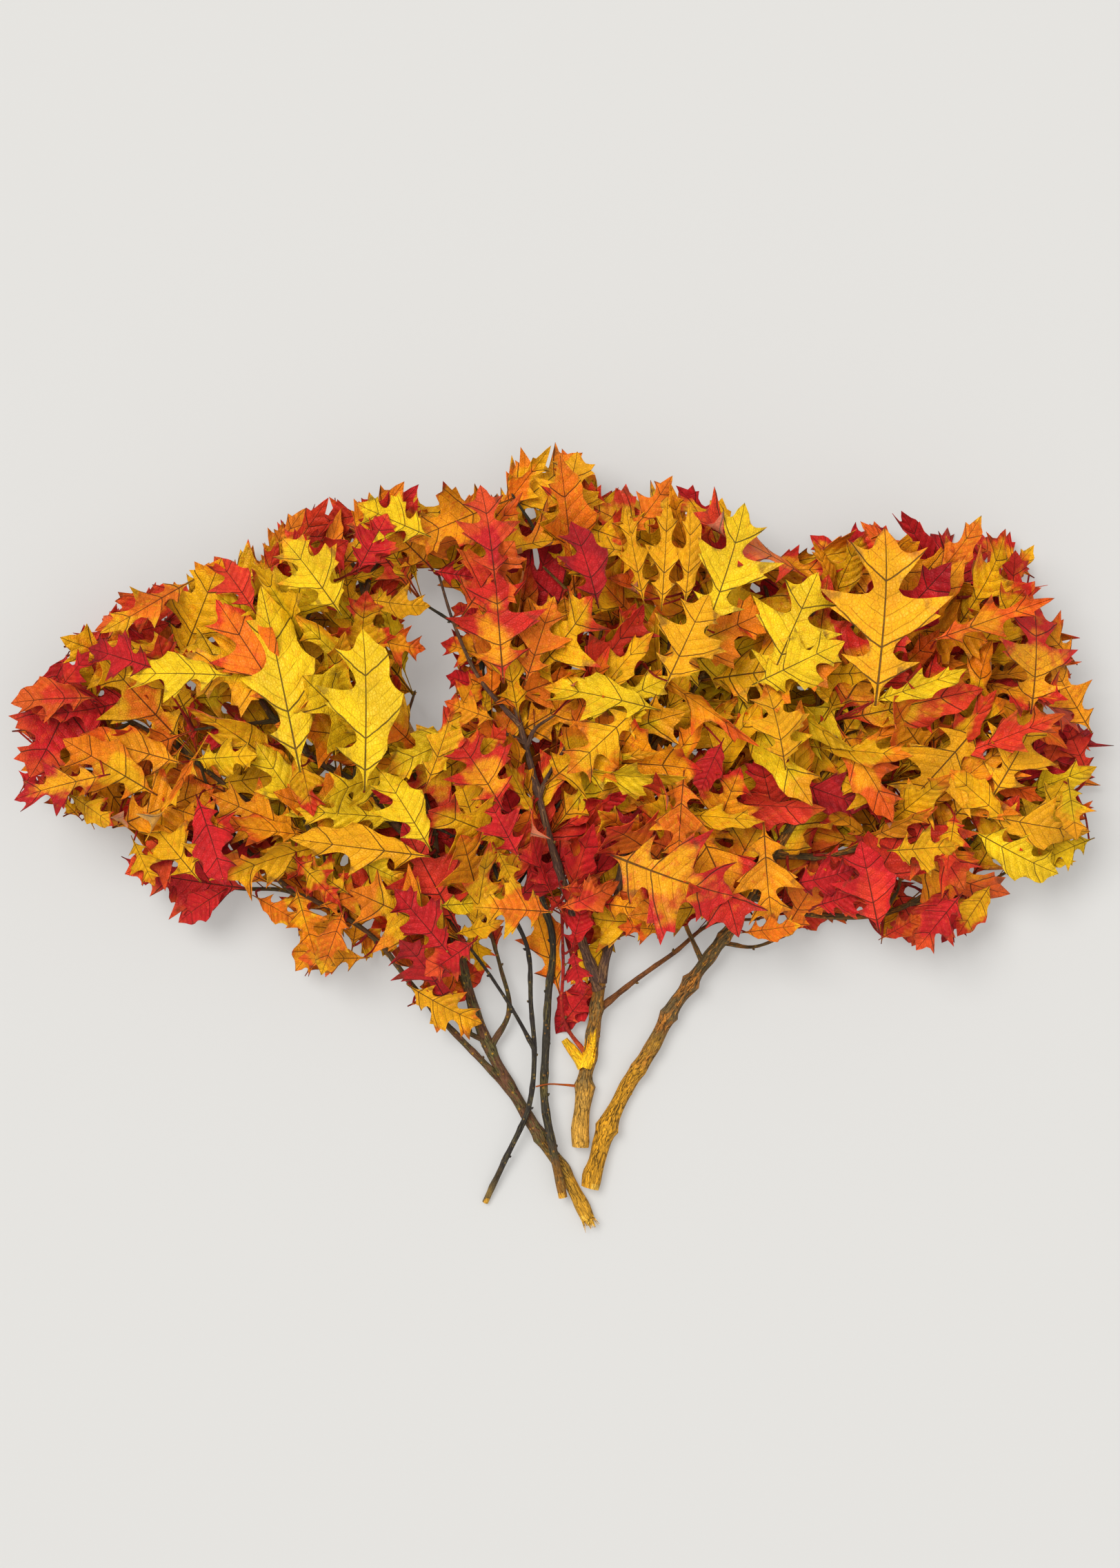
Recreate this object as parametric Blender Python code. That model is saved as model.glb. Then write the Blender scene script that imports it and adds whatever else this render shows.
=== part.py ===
"""A bunch of five cut oak branches with preserved autumn leaves, lying flat.

The cut ends meet low in the middle and the leafy arms fan out above them.
+X runs to the right of the fan, +Y from the cut ends to the leaves, +Z up.
Each branch grew as one piece, so each is one closed solid: its woody limbs,
its twigs and its own leaves, grown into each other.
"""
import math
import random

import bmesh
import bpy
from mathutils import Matrix, Vector
from mathutils.bvhtree import BVHTree

# Driving sizes, in millimetres
MM = 0.001
BLADE_THICK = 0.8
BLADE_CLEAR = 0.35
PETIOLE_WIDE = 1.8
LEAF_LONG = (88.0, 136.0)
LEAF_BROAD = (0.74, 1.02)
TIP_SHARE = 0.7
TIP_SMALLER = 0.22
PETIOLE_LONG = (9.0, 22.0)
PETIOLE_SUNK = 1.5
TWIG_LONG = (34.0, 72.0)
TWIG_THICK = (1.5, 1.0)
TWIG_RISE = (-8.0, 16.0)
TWIG_BARE = 0.3
LAST_TWIG = 0.93
STEM_SIDES = 7
LIMB_SIDES = 5
TWIG_SIDES = 3
LIMB_STEP = 42.0
FINE_PARTS = 8
LEAF_STEP = 108.0
TIP_LEAVES = 2
LEAF_TRIES = 36
PILE_TOP = 112.0

# How far leaves and twigs turn from the limb, and how leaves curl, in radians
TWIG_TURN = (0.6, 1.0)
TIP_TURN = 0.65
SIDE_TURN = 0.85
HEADING_SPREAD = 0.42
PITCH = (-0.42, 0.62)
ROLL_SPREAD = 0.42
ARCH = (-1.25, 0.7)
CUP = (-0.9, 1.1)
TWIST = (-0.5, 0.5)

# The reach of the foliage seen from above, anticlockwise, in millimetres
FAN_EDGE = [
    (-436, 104), (-428, 84), (-424, 36), (-342, 0), (-340, -26), (-296, -64), (-244, -46),
    (-210, -82), (-196, -114), (-140, -96), (-104, -158), (-62, -156), (-34, -66), (0, -158),
    (34, -156), (62, -86), (130, -72), (184, -86), (214, -78), (236, -60), (292, -102),
    (338, -76), (416, -26), (440, 4), (437, 90), (430, 130), (409, 178), (390, 190),
    (387, 230), (346, 262), (312, 246), (268, 266), (206, 246), (185, 230), (162, 262),
    (100, 285), (44, 284), (27, 315), (-16, 314), (-38, 300), (-54, 284), (-136, 284),
    (-210, 264), (-262, 228), (-354, 190), (-410, 142),
]
# The open strip where the floor shows between two branches
OPEN_STRIP = [(-114, 196), (-110, 96), (-92, 86), (-80, 118), (-82, 198)]
# The limbs that lie in view on top of the leaves, and how closely that is looked at
LIMBS_ON_TOP = ("long", "dead_twig")
LOOK_STEP = 6.0

# Each limb: the limb that it grows from, its thickness at both ends (radius),
# the number of side twigs, how much of it is bare, and its course (x, y, z)
LIMBS = {
    "branch_left": {
        "stem": (None, 5.3, 1.7, 3, 0.62, [
            (29, -306, 0), (10, -268, 0), (-9, -240, 0), (-32, -202, 6), (-56, -156, 8),
            (-70, -110, 13), (-80, -70, 20), (-97, -20, 30), (-132, 20, 35), (-165, 52, 38),
            (-199, 72, 40), (-228, 105, 40), (-251, 134, 38), (-287, 152, 34), (-308, 176, 32)]),
        "upper": ("stem", 3.1, 1.4, 3, 0.3, [
            (-90, -38, 27), (-95, 8, 36), (-105, 45, 42), (-124, 90, 44), (-138, 130, 44),
            (-148, 168, 42), (-152, 205, 40), (-170, 242, 36)]),
        "fork": ("upper", 1.7, 1.1, 0, 0.2, [
            (-150, 190, 41), (-145, 216, 40), (-132, 236, 36), (-106, 254, 34)]),
        "west": ("stem", 2.8, 1.3, 4, 0.18, [
            (-108, -8, 31), (-160, -2, 32), (-202, 6, 32), (-241, 30, 32), (-290, 66, 31),
            (-330, 92, 28), (-374, 108, 22)]),
        "low": ("stem", 2.8, 1.3, 2, 0.5, [
            (-28, -209, 6), (-64, -170, 9), (-89, -144, 12), (-117, -111, 16), (-149, -72, 19),
            (-185, -52, 21), (-224, -38, 22), (-265, -38, 18), (-296, -28, 14)]),
        "west_low": ("low", 1.9, 1.1, 2, 0.2, [
            (-204, -45, 22), (-222, -30, 25), (-244, -8, 28), (-268, 18, 29), (-310, 38, 26),
            (-358, 52, 21), (-390, 60, 16)]),
        "inner": ("stem", 2.3, 1.2, 0, 0.55, [
            (-50, -168, 8), (-36, -154, 10), (-35, -128, 11), (-42, -100, 13), (-52, -66, 17)]),
        "spur": ("stem", 1.9, 1.2, 0, 0.3, [
            (-53, -162, 8), (-63, -158, 11), (-76, -146, 14)]),
        "north_west": ("stem", 2.2, 1.2, 2, 0.25, [
            (-196, 70, 40), (-208, 110, 45), (-214, 150, 44), (-222, 190, 40), (-226, 224, 34)]),
        "far_west": ("west", 1.8, 1.1, 1, 0.25, [
            (-286, 62, 31), (-316, 108, 33), (-345, 140, 29), (-372, 152, 24)]),
    },
    "branch_thin": {
        "stem": (None, 2.4, 1.3, 2, 0.74, [
            (-54, -293, 0), (-42, -266, 6), (-30, -243, 12.4), (-22, -226, 14.3), (-17, -208, 13.8),
            (-14, -190, 13), (-14, -172, 12), (-15, -156, 12), (-17, -135, 13), (-16, -114, 16),
            (-18, -93, 19), (-26, -68, 22), (-40, -40, 26), (-50, -5, 32), (-52, 34, 37)]),
        "side": ("stem", 1.6, 1.1, 0, 0.7, [
            (-14, -168, 12), (-22, -153, 16), (-31, -137, 20), (-42, -120, 23), (-55, -100, 26),
            (-70, -80, 29)]),
    },
    "branch_dark": {
        "stem": (None, 3.5, 1.5, 4, 0.46, [
            (9, -288, 11.2), (7, -268, 14.6), (2, -252, 14.6), (-3, -232, 13), (-6, -211, 10),
            (-6, -190, 8), (-5, -171, 8), (-4, -152, 9), (-2, -114, 12), (2, -88, 15),
            (-5, -60, 20), (-12, -31, 26), (-20, 0, 31), (-30, 38, 35), (-44, 80, 36),
            (-54, 122, 35), (-58, 165, 37), (-62, 208, 38), (-58, 244, 34)]),
        "crown": ("stem", 2.2, 1.2, 2, 0.2, [
            (-52, 116, 35), (-34, 150, 38), (-12, 188, 42), (4, 226, 42), (8, 262, 38)]),
    },
    "branch_middle": {
        "stem": (None, 6.3, 4.6, 0, 1.0, [
            (23, -248, 0), (24, -228, 0), (25, -207, 0), (27, -190, 6), (31, -169, 7),
            (34, -152, 9), (37, -135, 11), (39, -114, 14)]),
        "long": ("stem", 3.8, 2.0, 2, 0.5, [
            (38, -120, 13), (30, -98, 17), (21, -72, 23), (12, -43, 29), (4, -19, 36),
            (-4, 12, 42), (-12, 42, 46), (-19, 70, 49), (-26, 95, 50), (-32, 118, 49)]),
        "dead_twig": ("long", 1.9, 1.0, 0, 0.5, [
            (-25, 92, 50), (-34, 107, 51), (-47, 117, 51), (-60, 132, 51), (-70, 150, 51),
            (-77, 172, 50), (-77, 193, 49), (-90, 212, 48)]),
        "spur_high": ("long", 1.6, 1.1, 0, 0.2, [(-20, 74, 49), (-14, 88, 53), (1, 99, 56)]),
        "spur_low": ("long", 1.6, 1.1, 0, 0.2, [(-10, 34, 45), (-5, 48, 49), (3, 62, 52)]),
        "north": ("stem", 3.5, 1.4, 3, 0.3, [
            (39, -114, 14), (45, -88, 17), (50, -61, 22), (55, -28, 28), (60, 3, 33),
            (67, 32, 38), (75, 68, 42), (83, 108, 44), (92, 150, 44), (98, 195, 42),
            (96, 232, 36)]),
        "north_west": ("north", 2.2, 1.2, 2, 0.2, [
            (60, 3, 33), (42, 38, 40), (32, 80, 45), (32, 125, 47), (40, 170, 45), (48, 215, 40)]),
        "north_east": ("north", 2.2, 1.2, 2, 0.2, [
            (74, 64, 41), (96, 96, 46), (120, 132, 48), (136, 170, 46), (143, 204, 40)]),
        "under": ("stem", 2.4, 1.2, 1, 0.55, [
            (36, -138, 10), (56, -120, 9), (73, -110, 8), (90, -98, 7), (107, -84, 6),
            (125, -70, 5), (146, -60, 4), (166, -64, 4)]),
        "red_twig": ("stem", 1.7, 1.1, 0, 0.35, [
            (30, -176, 7), (19, -173, 10), (12, -162, 12), (9, -140, 13), (8, -112, 16),
            (11, -85, 19), (8, -58, 23)]),
    },
    "branch_right": {
        "stem": (None, 6.6, 1.5, 2, 0.5, [
            (31, -281, 0), (38, -253, 0), (47, -228, 0), (59, -202, 0), (72, -182, 7),
            (84, -161, 8), (93, -144, 9), (103, -127, 11), (114, -110, 13), (126, -95, 16),
            (138, -80, 19), (150, -60, 22), (163, -38, 27), (176, -14, 32), (190, 10, 37),
            (206, 38, 40), (226, 75, 43), (245, 120, 43), (258, 165, 40), (268, 205, 36),
            (270, 232, 31)]),
        "inner": ("stem", 3.1, 1.3, 2, 0.2, [
            (153, -56, 23), (157, -24, 31), (163, 12, 39), (170, 55, 44), (176, 100, 46),
            (178, 145, 44), (174, 188, 40), (166, 220, 34)]),
        "low": ("stem", 2.9, 1.3, 2, 0.22, [
            (160, -44, 25), (180, -53, 22), (202, -58, 20), (226, -61, 18), (248, -62, 16),
            (266, -60, 15), (285, -52, 15), (305, -40, 15), (322, -22, 16), (337, 0, 17),
            (356, 24, 17)]),
        "low_tip": ("low", 1.6, 1.1, 1, 0.2, [
            (288, -51, 15), (306, -55, 14), (326, -48, 12), (346, -34, 10), (370, -24, 8)]),
        "low_spur": ("low", 1.5, 1.1, 0, 0.3, [
            (266, -60, 15), (278, -38, 19), (280, -20, 22), (268, -6, 25)]),
        "east": ("stem", 2.8, 1.2, 3, 0.2, [
            (178, -11, 33), (205, -14, 34), (233, -9, 35), (262, 2, 35), (300, 24, 33),
            (340, 50, 29), (380, 70, 23), (402, 78, 18)]),
        "north_east": ("stem", 2.2, 1.2, 2, 0.2, [
            (228, 79, 43), (262, 104, 43), (295, 136, 40), (326, 170, 35), (348, 196, 30)]),
        "far_east": ("east", 2.0, 1.2, 2, 0.2, [
            (264, 3, 35), (292, 44, 37), (326, 84, 35), (360, 114, 30), (392, 136, 24)]),
        "north": ("stem", 2.1, 1.2, 2, 0.2, [
            (204, 34, 40), (210, 80, 46), (213, 130, 46), (215, 178, 41), (218, 214, 35)]),
        "knee": ("stem", 1.9, 1.2, 1, 0.2, [
            (122, -100, 15), (112, -76, 21), (101, -52, 27), (94, -22, 31)]),
        "heel": ("stem", 1.6, 1.1, 0, 0.3, [(136, -82, 18), (162, -86, 15), (186, -78, 12)]),
    },
}
# Colours seen from a step away: (red, green, blue), linear
LEAF_COLOURS = {
    "branch_left": (0.78, 0.36, 0.03),
    "branch_thin": (0.45, 0.03, 0.02),
    "branch_dark": (0.66, 0.13, 0.02),
    "branch_middle": (0.80, 0.40, 0.04),
    "branch_right": (0.80, 0.30, 0.02),
}
BARK_COLOUR = (0.12, 0.07, 0.03)

# The oak leaf, flat, for a midrib of length 1: (along, across) from base to tip
LOBES_LARGE = [(0.0, 0.013), (0.19, 0.21), (0.27, 0.06), (0.45, 0.37), (0.60, 0.36),
               (0.61, 0.07), (0.83, 0.20)]
LOBES_SMALL = [(0.0, 0.013), (0.22, 0.22), (0.30, 0.07), (0.58, 0.37), (0.62, 0.09), (0.84, 0.19)]
RIB_PLACES = (0.29, 0.64)
LARGE_LEAF = 122.0


def clear_scene():
    for thing in list(bpy.data.objects):
        bpy.data.objects.remove(thing, do_unlink=True)


def material(name, colour, roughness):
    made = bpy.data.materials.new(name)
    made.use_nodes = True
    shader = made.node_tree.nodes["Principled BSDF"]
    shader.inputs["Base Color"].default_value = (*colour, 1.0)
    shader.inputs["Roughness"].default_value = roughness
    shader.inputs["Metallic"].default_value = 0.0
    made.diffuse_color = (*colour, 1.0)
    return made


def smooth_route(points, step):
    """Evenly spaced points along one smooth curve through the course."""
    ends = [points[0] * 2 - points[1]] + points + [points[-1] * 2 - points[-2]]
    fine = []
    for a, b, c, d in zip(ends, ends[1:], ends[2:], ends[3:]):
        for k in range(FINE_PARTS):
            t = k / FINE_PARTS
            fine.append(0.5 * (2 * b + (c - a) * t + (2 * a - 5 * b + 4 * c - d) * t * t
                               + (3 * b - a - 3 * c + d) * t ** 3))
    fine.append(points[-1])
    run = [0.0]
    for a, b in zip(fine, fine[1:]):
        run.append(run[-1] + (b - a).length)
    parts = max(2, round(run[-1] / step))
    route = [points[0]]
    at = 0
    for k in range(1, parts):
        goal = run[-1] * k / parts
        while run[at + 1] < goal:
            at += 1
        route.append(fine[at].lerp(fine[at + 1], (goal - run[at]) / (run[at + 1] - run[at])))
    return route + [points[-1]]


def radii_along(route, first, last):
    """The radius at each point, thinning evenly along the length."""
    run = [0.0]
    for a, b in zip(route, route[1:]):
        run.append(run[-1] + (b - a).length)
    return [first + (last - first) * s / run[-1] for s in run]


def lay_down(route, radii, sides):
    """Lift what would sink, so a low stretch lies with one flat side on the surface."""
    flat = math.cos(math.pi / sides)
    return [Vector((p.x, p.y, max(p.z, r * flat))) for p, r in zip(route, radii)]


def tube(route, radii, sides):
    """A closed limb: rings with one flat side down, joined, with a cap at each end."""
    vertices = []
    for k, (centre, radius) in enumerate(zip(route, radii)):
        along = (route[min(k + 1, len(route) - 1)] - route[max(k - 1, 0)]).normalized()
        across = along.cross(Vector((0, 0, 1))).normalized()
        upward = across.cross(along)
        for n in range(sides):
            angle = -math.pi / 2 + math.pi / sides + 2 * math.pi * n / sides
            vertices.append(centre + radius * (math.cos(angle) * across + math.sin(angle) * upward))
    faces = [tuple(range(sides))]
    for k in range(len(route) - 1):
        for n in range(sides):
            m = (n + 1) % sides
            faces.append((k * sides + m, k * sides + n, (k + 1) * sides + n, (k + 1) * sides + m))
    faces.append(tuple(reversed(range((len(route) - 1) * sides, len(route) * sides))))
    return vertices, faces


def inside(x, y, outline):
    """True where a point seen from above lies within a closed outline."""
    within = False
    for (x1, y1), (x2, y2) in zip(outline, outline[1:] + outline[:1]):
        if (y1 > y) != (y2 > y) and x < (x2 - x1) * (y - y1) / (y2 - y1) + x1:
            within = not within
    return within


def draw_leaf(name, place, limb_heading, spread, share):
    """One try at a leaf: its size, heading and curl, from its own seed."""
    draw = random.Random(name)
    side = draw.choice((-1, 1)) if spread else 0
    return {
        "root": place,
        "long": draw.uniform(*LEAF_LONG) * (1.0 - TIP_SMALLER * share),
        "broad": draw.uniform(*LEAF_BROAD),
        "petiole": draw.uniform(*PETIOLE_LONG),
        "heading": limb_heading + side * spread + draw.gauss(0.0, HEADING_SPREAD),
        "pitch": draw.uniform(*PITCH),
        "roll": draw.gauss(0.0, ROLL_SPREAD),
        "arch": draw.uniform(*ARCH),
        "cup": draw.uniform(*CUP),
        "twist": draw.uniform(*TWIST),
    }


def bend_blade(leaf, along, across):
    """A point of the flat leaf, (along, across) in midrib lengths, on the curled leaf."""
    long = leaf["long"]
    x = along * long
    y = across * long * leaf["broad"]
    bow = leaf["cup"] / (0.5 * long)
    y_bent = math.sin(bow * y) / bow if abs(bow) > 1e-6 else y
    lift = (1.0 - math.cos(bow * y)) / bow if abs(bow) > 1e-6 else 0.0
    curve = leaf["arch"] / long
    if x > 0 and abs(curve) > 1e-6:
        turn = curve * x
        flat = Vector((math.sin(turn) / curve - lift * math.sin(turn), y_bent,
                       (1.0 - math.cos(turn)) / curve + lift * math.cos(turn)))
    else:
        flat = Vector((x, y_bent, lift))
    spun = Matrix.Rotation(leaf["twist"] * max(along, 0.0), 3, "X") @ flat
    turned = (Matrix.Rotation(leaf["heading"], 3, "Z") @ Matrix.Rotation(-leaf["pitch"], 3, "Y")
              @ Matrix.Rotation(leaf["roll"], 3, "X"))
    point = leaf["root"] + turned @ (spun + Vector((leaf["petiole"], 0, 0)))
    point.z = max(point.z, BLADE_THICK / 2)
    return point


def flat_leaf(leaf):
    """The flat leaf's points and triangles: petiole, lobes and a folded midrib."""
    lobes = LOBES_LARGE if leaf["long"] > LARGE_LEAF else LOBES_SMALL
    root = -leaf["petiole"] / leaf["long"]
    half = PETIOLE_WIDE / 2 / leaf["long"]
    count = len(lobes)
    points = [(root, -half), (root, half)]
    points += [(u, -v) for u, v in lobes] + [(u, v) for u, v in lobes]
    points += [(1.0, 0.0)] + [(u, 0.0) for u in RIB_PLACES]
    right = 2
    left = 2 + count
    apex = 2 + 2 * count
    low_rib = apex + 1
    high_rib = apex + 2
    faces = [(0, right, left), (0, left, 1), (right, low_rib, left)]
    for first, flip in ((right, False), (left, True)):
        ring = [first + k for k in range(count)]
        base, low_tip, low_bay, high_bay, high_tip = ring[0], ring[1], ring[2], ring[-2], ring[-1]
        half_faces = [(base, low_tip, low_bay), (base, low_bay, low_rib),
                      (low_rib, low_bay, high_bay), (low_rib, high_bay, high_rib),
                      (high_bay, high_tip, high_rib), (high_tip, apex, high_rib)]
        half_faces += [(low_bay, a, b) for a, b in zip(ring[3:-2], ring[4:-1])]
        faces += [tuple(reversed(f)) for f in half_faces] if flip else half_faces
    outline = [0] + list(range(right, right + count)) + [apex]
    outline += list(range(left + count - 1, left - 1, -1)) + [1]
    return points, faces, outline


def blade(leaf, thick):
    """The curled leaf as a closed plate: both faces split into the same triangles."""
    points, faces, outline = flat_leaf(leaf)
    middle = [bend_blade(leaf, u, v) for u, v in points]
    normals = [Vector() for _ in middle]
    for a, b, c in faces:
        normal = (middle[b] - middle[a]).cross(middle[c] - middle[a])
        for k in (a, b, c):
            normals[k] += normal
    count = len(middle)
    top = []
    under = []
    for point, normal in zip(middle, normals):
        offset = normal.normalized() * (thick / 2)
        rise = max(0.0, abs(offset.z) - point.z)
        top.append(point + offset + Vector((0, 0, rise)))
        under.append(point - offset + Vector((0, 0, rise)))
    solid = list(faces) + [(c + count, b + count, a + count) for a, b, c in faces]
    for a, b in zip(outline, outline[1:] + outline[:1]):
        solid += [(b, a, a + count), (b, a + count, b + count)]
    return top + under, solid


def tree_of(vertices, faces):
    low = Vector([min(v[k] for v in vertices) for k in range(3)])
    high = Vector([max(v[k] for v in vertices) for k in range(3)])
    return BVHTree.FromPolygons(vertices, faces), low, high


def touches(one, other):
    for k in range(3):
        if one[1][k] > other[2][k] or other[1][k] > one[2][k]:
            return False
    return bool(one[0].overlap(other[0]))


def grow_limbs(limbs):
    """Every limb of a branch with its side twigs: route, radii, sides, bare share."""
    grown = {}
    for name, (parent, first, last, twigs, bare, course) in limbs.items():
        route = smooth_route([Vector(p) for p in course], LIMB_STEP)
        radii = radii_along(route, first, last)
        sides = STEM_SIDES if parent is None else LIMB_SIDES
        grown[name] = (lay_down(route, radii, sides), radii, sides, bare)
        for k in range(twigs):
            draw = random.Random(f"{name}-twig-{k}")
            share = bare + (LAST_TWIG - bare) * (k + 0.5) / twigs
            knot = round(share * (len(route) - 1))
            at = grown[name][0][knot]
            ahead = grown[name][0][min(knot + 1, len(route) - 1)]
            behind = grown[name][0][knot - 1]
            heading = math.atan2(ahead.y - behind.y, ahead.x - behind.x)
            heading += (1 if k % 2 else -1) * draw.uniform(*TWIG_TURN)
            long = draw.uniform(*TWIG_LONG)
            rise = draw.uniform(*TWIG_RISE)
            way = Vector((math.cos(heading), math.sin(heading), 0))
            middle = at + way * long / 2 + Vector((0, 0, rise * 0.7))
            end = at + way * long + Vector((0, 0, rise))
            if not inside(end.x, end.y, FAN_EDGE):
                continue
            twig = smooth_route([at, middle, end], LIMB_STEP)
            thick = radii_along(twig, *TWIG_THICK)
            grown[f"{name}_twig_{k}"] = (lay_down(twig, thick, TWIG_SIDES), thick, TWIG_SIDES,
                                         TWIG_BARE)
    return grown


def leaf_places(limbs):
    """Where leaves grow: some at each limb's tip, others on both sides below it."""
    places = []
    for name, (route, radii, sides, bare) in limbs.items():
        if bare >= 1.0:
            continue
        run = sum((b - a).length for a, b in zip(route, route[1:]))
        count = max(0, round(run * (1.0 - bare) / LEAF_STEP))
        heading = math.atan2(route[-1].y - route[-2].y, route[-1].x - route[-2].x)
        tip = route[-1] - (route[-1] - route[-2]).normalized() * PETIOLE_SUNK
        for k in range(TIP_LEAVES):
            places.append((f"{name}-tip-{k}", tip, heading, TIP_TURN if k else 0.0, TIP_SHARE))
        for k in range(count):
            share = bare + (1.0 - bare) * (k + 0.35) / count
            spot = share * (len(route) - 1)
            low = min(int(spot), len(route) - 2)
            place = route[low].lerp(route[low + 1], spot - low)
            heading = math.atan2(route[low + 1].y - route[low].y, route[low + 1].x - route[low].x)
            places.append((f"{name}-side-{k}", place, heading, SIDE_TURN, share))
    return places


def fits(leaf):
    """The whole blade lies within the fan, clear of the open strip and the pile's top."""
    points, _, outline = flat_leaf(leaf)
    for k in outline[1:-1]:
        spot = bend_blade(leaf, *points[k])
        if spot.z > PILE_TOP or not inside(spot.x, spot.y, FAN_EDGE):
            return False
        if inside(spot.x, spot.y, OPEN_STRIP):
            return False
    return True


def looks_down_on(limbs):
    """Points along the limbs that lie in view, which no leaf may cover."""
    spots = []
    for name in LIMBS_ON_TOP:
        route, radii, sides, bare = limbs[name]
        for a, b in zip(route, route[1:]):
            parts = max(1, round((b - a).length / LOOK_STEP))
            spots += [a.lerp(b, k / parts) for k in range(parts)]
    return spots


def place_leaves(branches):
    """Leaves for all branches in turn, each kept clear of every limb and blade so far."""
    taken = []
    for node, limbs in branches.items():
        for name, (route, radii, sides, bare) in limbs.items():
            tree = tree_of(*tube(route, radii, sides))
            taken.append((node, tree, tree))
    in_view = looks_down_on(branches["branch_middle"])
    queues = {node: leaf_places(limbs) for node, limbs in branches.items()}
    chosen = {node: [] for node in branches}
    for turn in range(max(len(q) for q in queues.values())):
        for node, queue in queues.items():
            if turn >= len(queue):
                continue
            name, place, heading, spread, share = queue[turn]
            for t in range(LEAF_TRIES):
                leaf = draw_leaf(f"{node}-{name}-{t}", place, heading, spread, share)
                if not fits(leaf):
                    continue
                vertices, faces = blade(leaf, BLADE_THICK + 2 * BLADE_CLEAR)
                whole = tree_of(vertices, faces)
                if any(whole[0].ray_cast(spot, Vector((0, 0, 1)))[0] for spot in in_view):
                    continue
                count = len(vertices) // 2
                lobed = tree_of(vertices, [f for f in faces if all(v % count > 1 for v in f)])
                if any(touches(whole, full) if other != node else touches(lobed, broad)
                       for other, full, broad in taken):
                    continue
                chosen[node].append(leaf)
                taken.append((node, whole, lobed))
                break
    return chosen


def mesh_object(name, vertices, faces, materials, slot):
    mesh = bpy.data.meshes.new(name)
    mesh.from_pydata([v * MM for v in vertices], [], faces)
    for finish in materials:
        mesh.materials.append(finish)
    for face in mesh.polygons:
        face.material_index = slot
    made = bpy.data.objects.new(name, mesh)
    return made


def keep_largest(mesh):
    """Drop any scrap or sealed hollow, which the union leaves as a body of its own."""
    work = bmesh.new()
    work.from_mesh(mesh)
    left = set(work.verts)
    largest = set()
    while left:
        body = {left.pop()}
        edge = list(body)
        while edge:
            vertex = edge.pop()
            for link in vertex.link_edges:
                other = link.other_vert(vertex)
                if other not in body:
                    body.add(other)
                    edge.append(other)
        left -= body
        if len(body) > len(largest):
            largest = body
    bmesh.ops.delete(work, geom=[v for v in work.verts if v not in largest], context="VERTS")
    bmesh.ops.triangulate(work, faces=work.faces)
    work.to_mesh(mesh)
    work.free()


def fuse_branch(node, limbs, leaves):
    """One solid: the stem, joined with every limb, twig and leaf in one union."""
    finishes = [material(f"{node}_bark", BARK_COLOUR, 0.75),
                material(f"{node}_leaf", LEAF_COLOURS[node], 0.55)]
    pieces = bpy.data.collections.new(f"{node}_pieces")
    bpy.context.scene.collection.children.link(pieces)
    branch = None
    for name, (route, radii, sides, bare) in limbs.items():
        vertices, faces = tube(route, radii, sides)
        if branch is None:
            branch = mesh_object(node, vertices, faces, finishes, 0)
            bpy.context.scene.collection.objects.link(branch)
        else:
            pieces.objects.link(mesh_object(f"{node}_{name}", vertices, faces, finishes, 0))
    for k, leaf in enumerate(leaves):
        vertices, faces = blade(leaf, BLADE_THICK)
        pieces.objects.link(mesh_object(f"{node}_leaf_{k}", vertices, faces, finishes, 1))
    union = branch.modifiers.new("grown_together", "BOOLEAN")
    union.operation = "UNION"
    union.operand_type = "COLLECTION"
    union.collection = pieces
    union.solver = "MANIFOLD"
    bpy.context.view_layer.objects.active = branch
    bpy.ops.object.modifier_apply(modifier=union.name)
    for piece in list(pieces.objects):
        bpy.data.objects.remove(piece, do_unlink=True)
    bpy.data.collections.remove(pieces)
    keep_largest(branch.data)
    return branch


def centre_on_origin(objects):
    """The middle of the whole bunch over the origin, its lowest point at height 0."""
    points = [v.co for thing in objects for v in thing.data.vertices]
    low = Vector([min(p[k] for p in points) for k in range(3)])
    high = Vector([max(p[k] for p in points) for k in range(3)])
    shift = Vector((-(low.x + high.x) / 2, -(low.y + high.y) / 2, -low.z))
    for thing in objects:
        thing.data.transform(Matrix.Translation(shift))
    size = (high - low) / MM
    print(f"bunch {size.x:.1f} x {size.y:.1f} x {size.z:.1f} mm")


def main():
    clear_scene()
    branches = {node: grow_limbs(limbs) for node, limbs in LIMBS.items()}
    leaves = place_leaves(branches)
    built = [fuse_branch(node, limbs, leaves[node]) for node, limbs in branches.items()]
    centre_on_origin(built)
    for thing in built:
        print(f"{thing.name}: {len(leaves[thing.name])} leaves, {len(thing.data.polygons)} triangles")


main()
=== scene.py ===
# %% [markdown]
# A loose bunch of five cut oak branches with preserved autumn leaves lies flat on a pale surface.
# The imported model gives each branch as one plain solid, with plain lobed blades for its leaves.
# This lesson loads that model and makes the fine surface over it: bark, buds and torn wood on the
# limbs, thin veined leaves in the places of the plain blades, and many more leaves among them.

# %% Load the frame
import math
import random
from collections import namedtuple

import bpy
import numpy as np
from mathutils import Matrix, Vector, kdtree, noise
from mathutils.bvhtree import BVHTree


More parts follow.
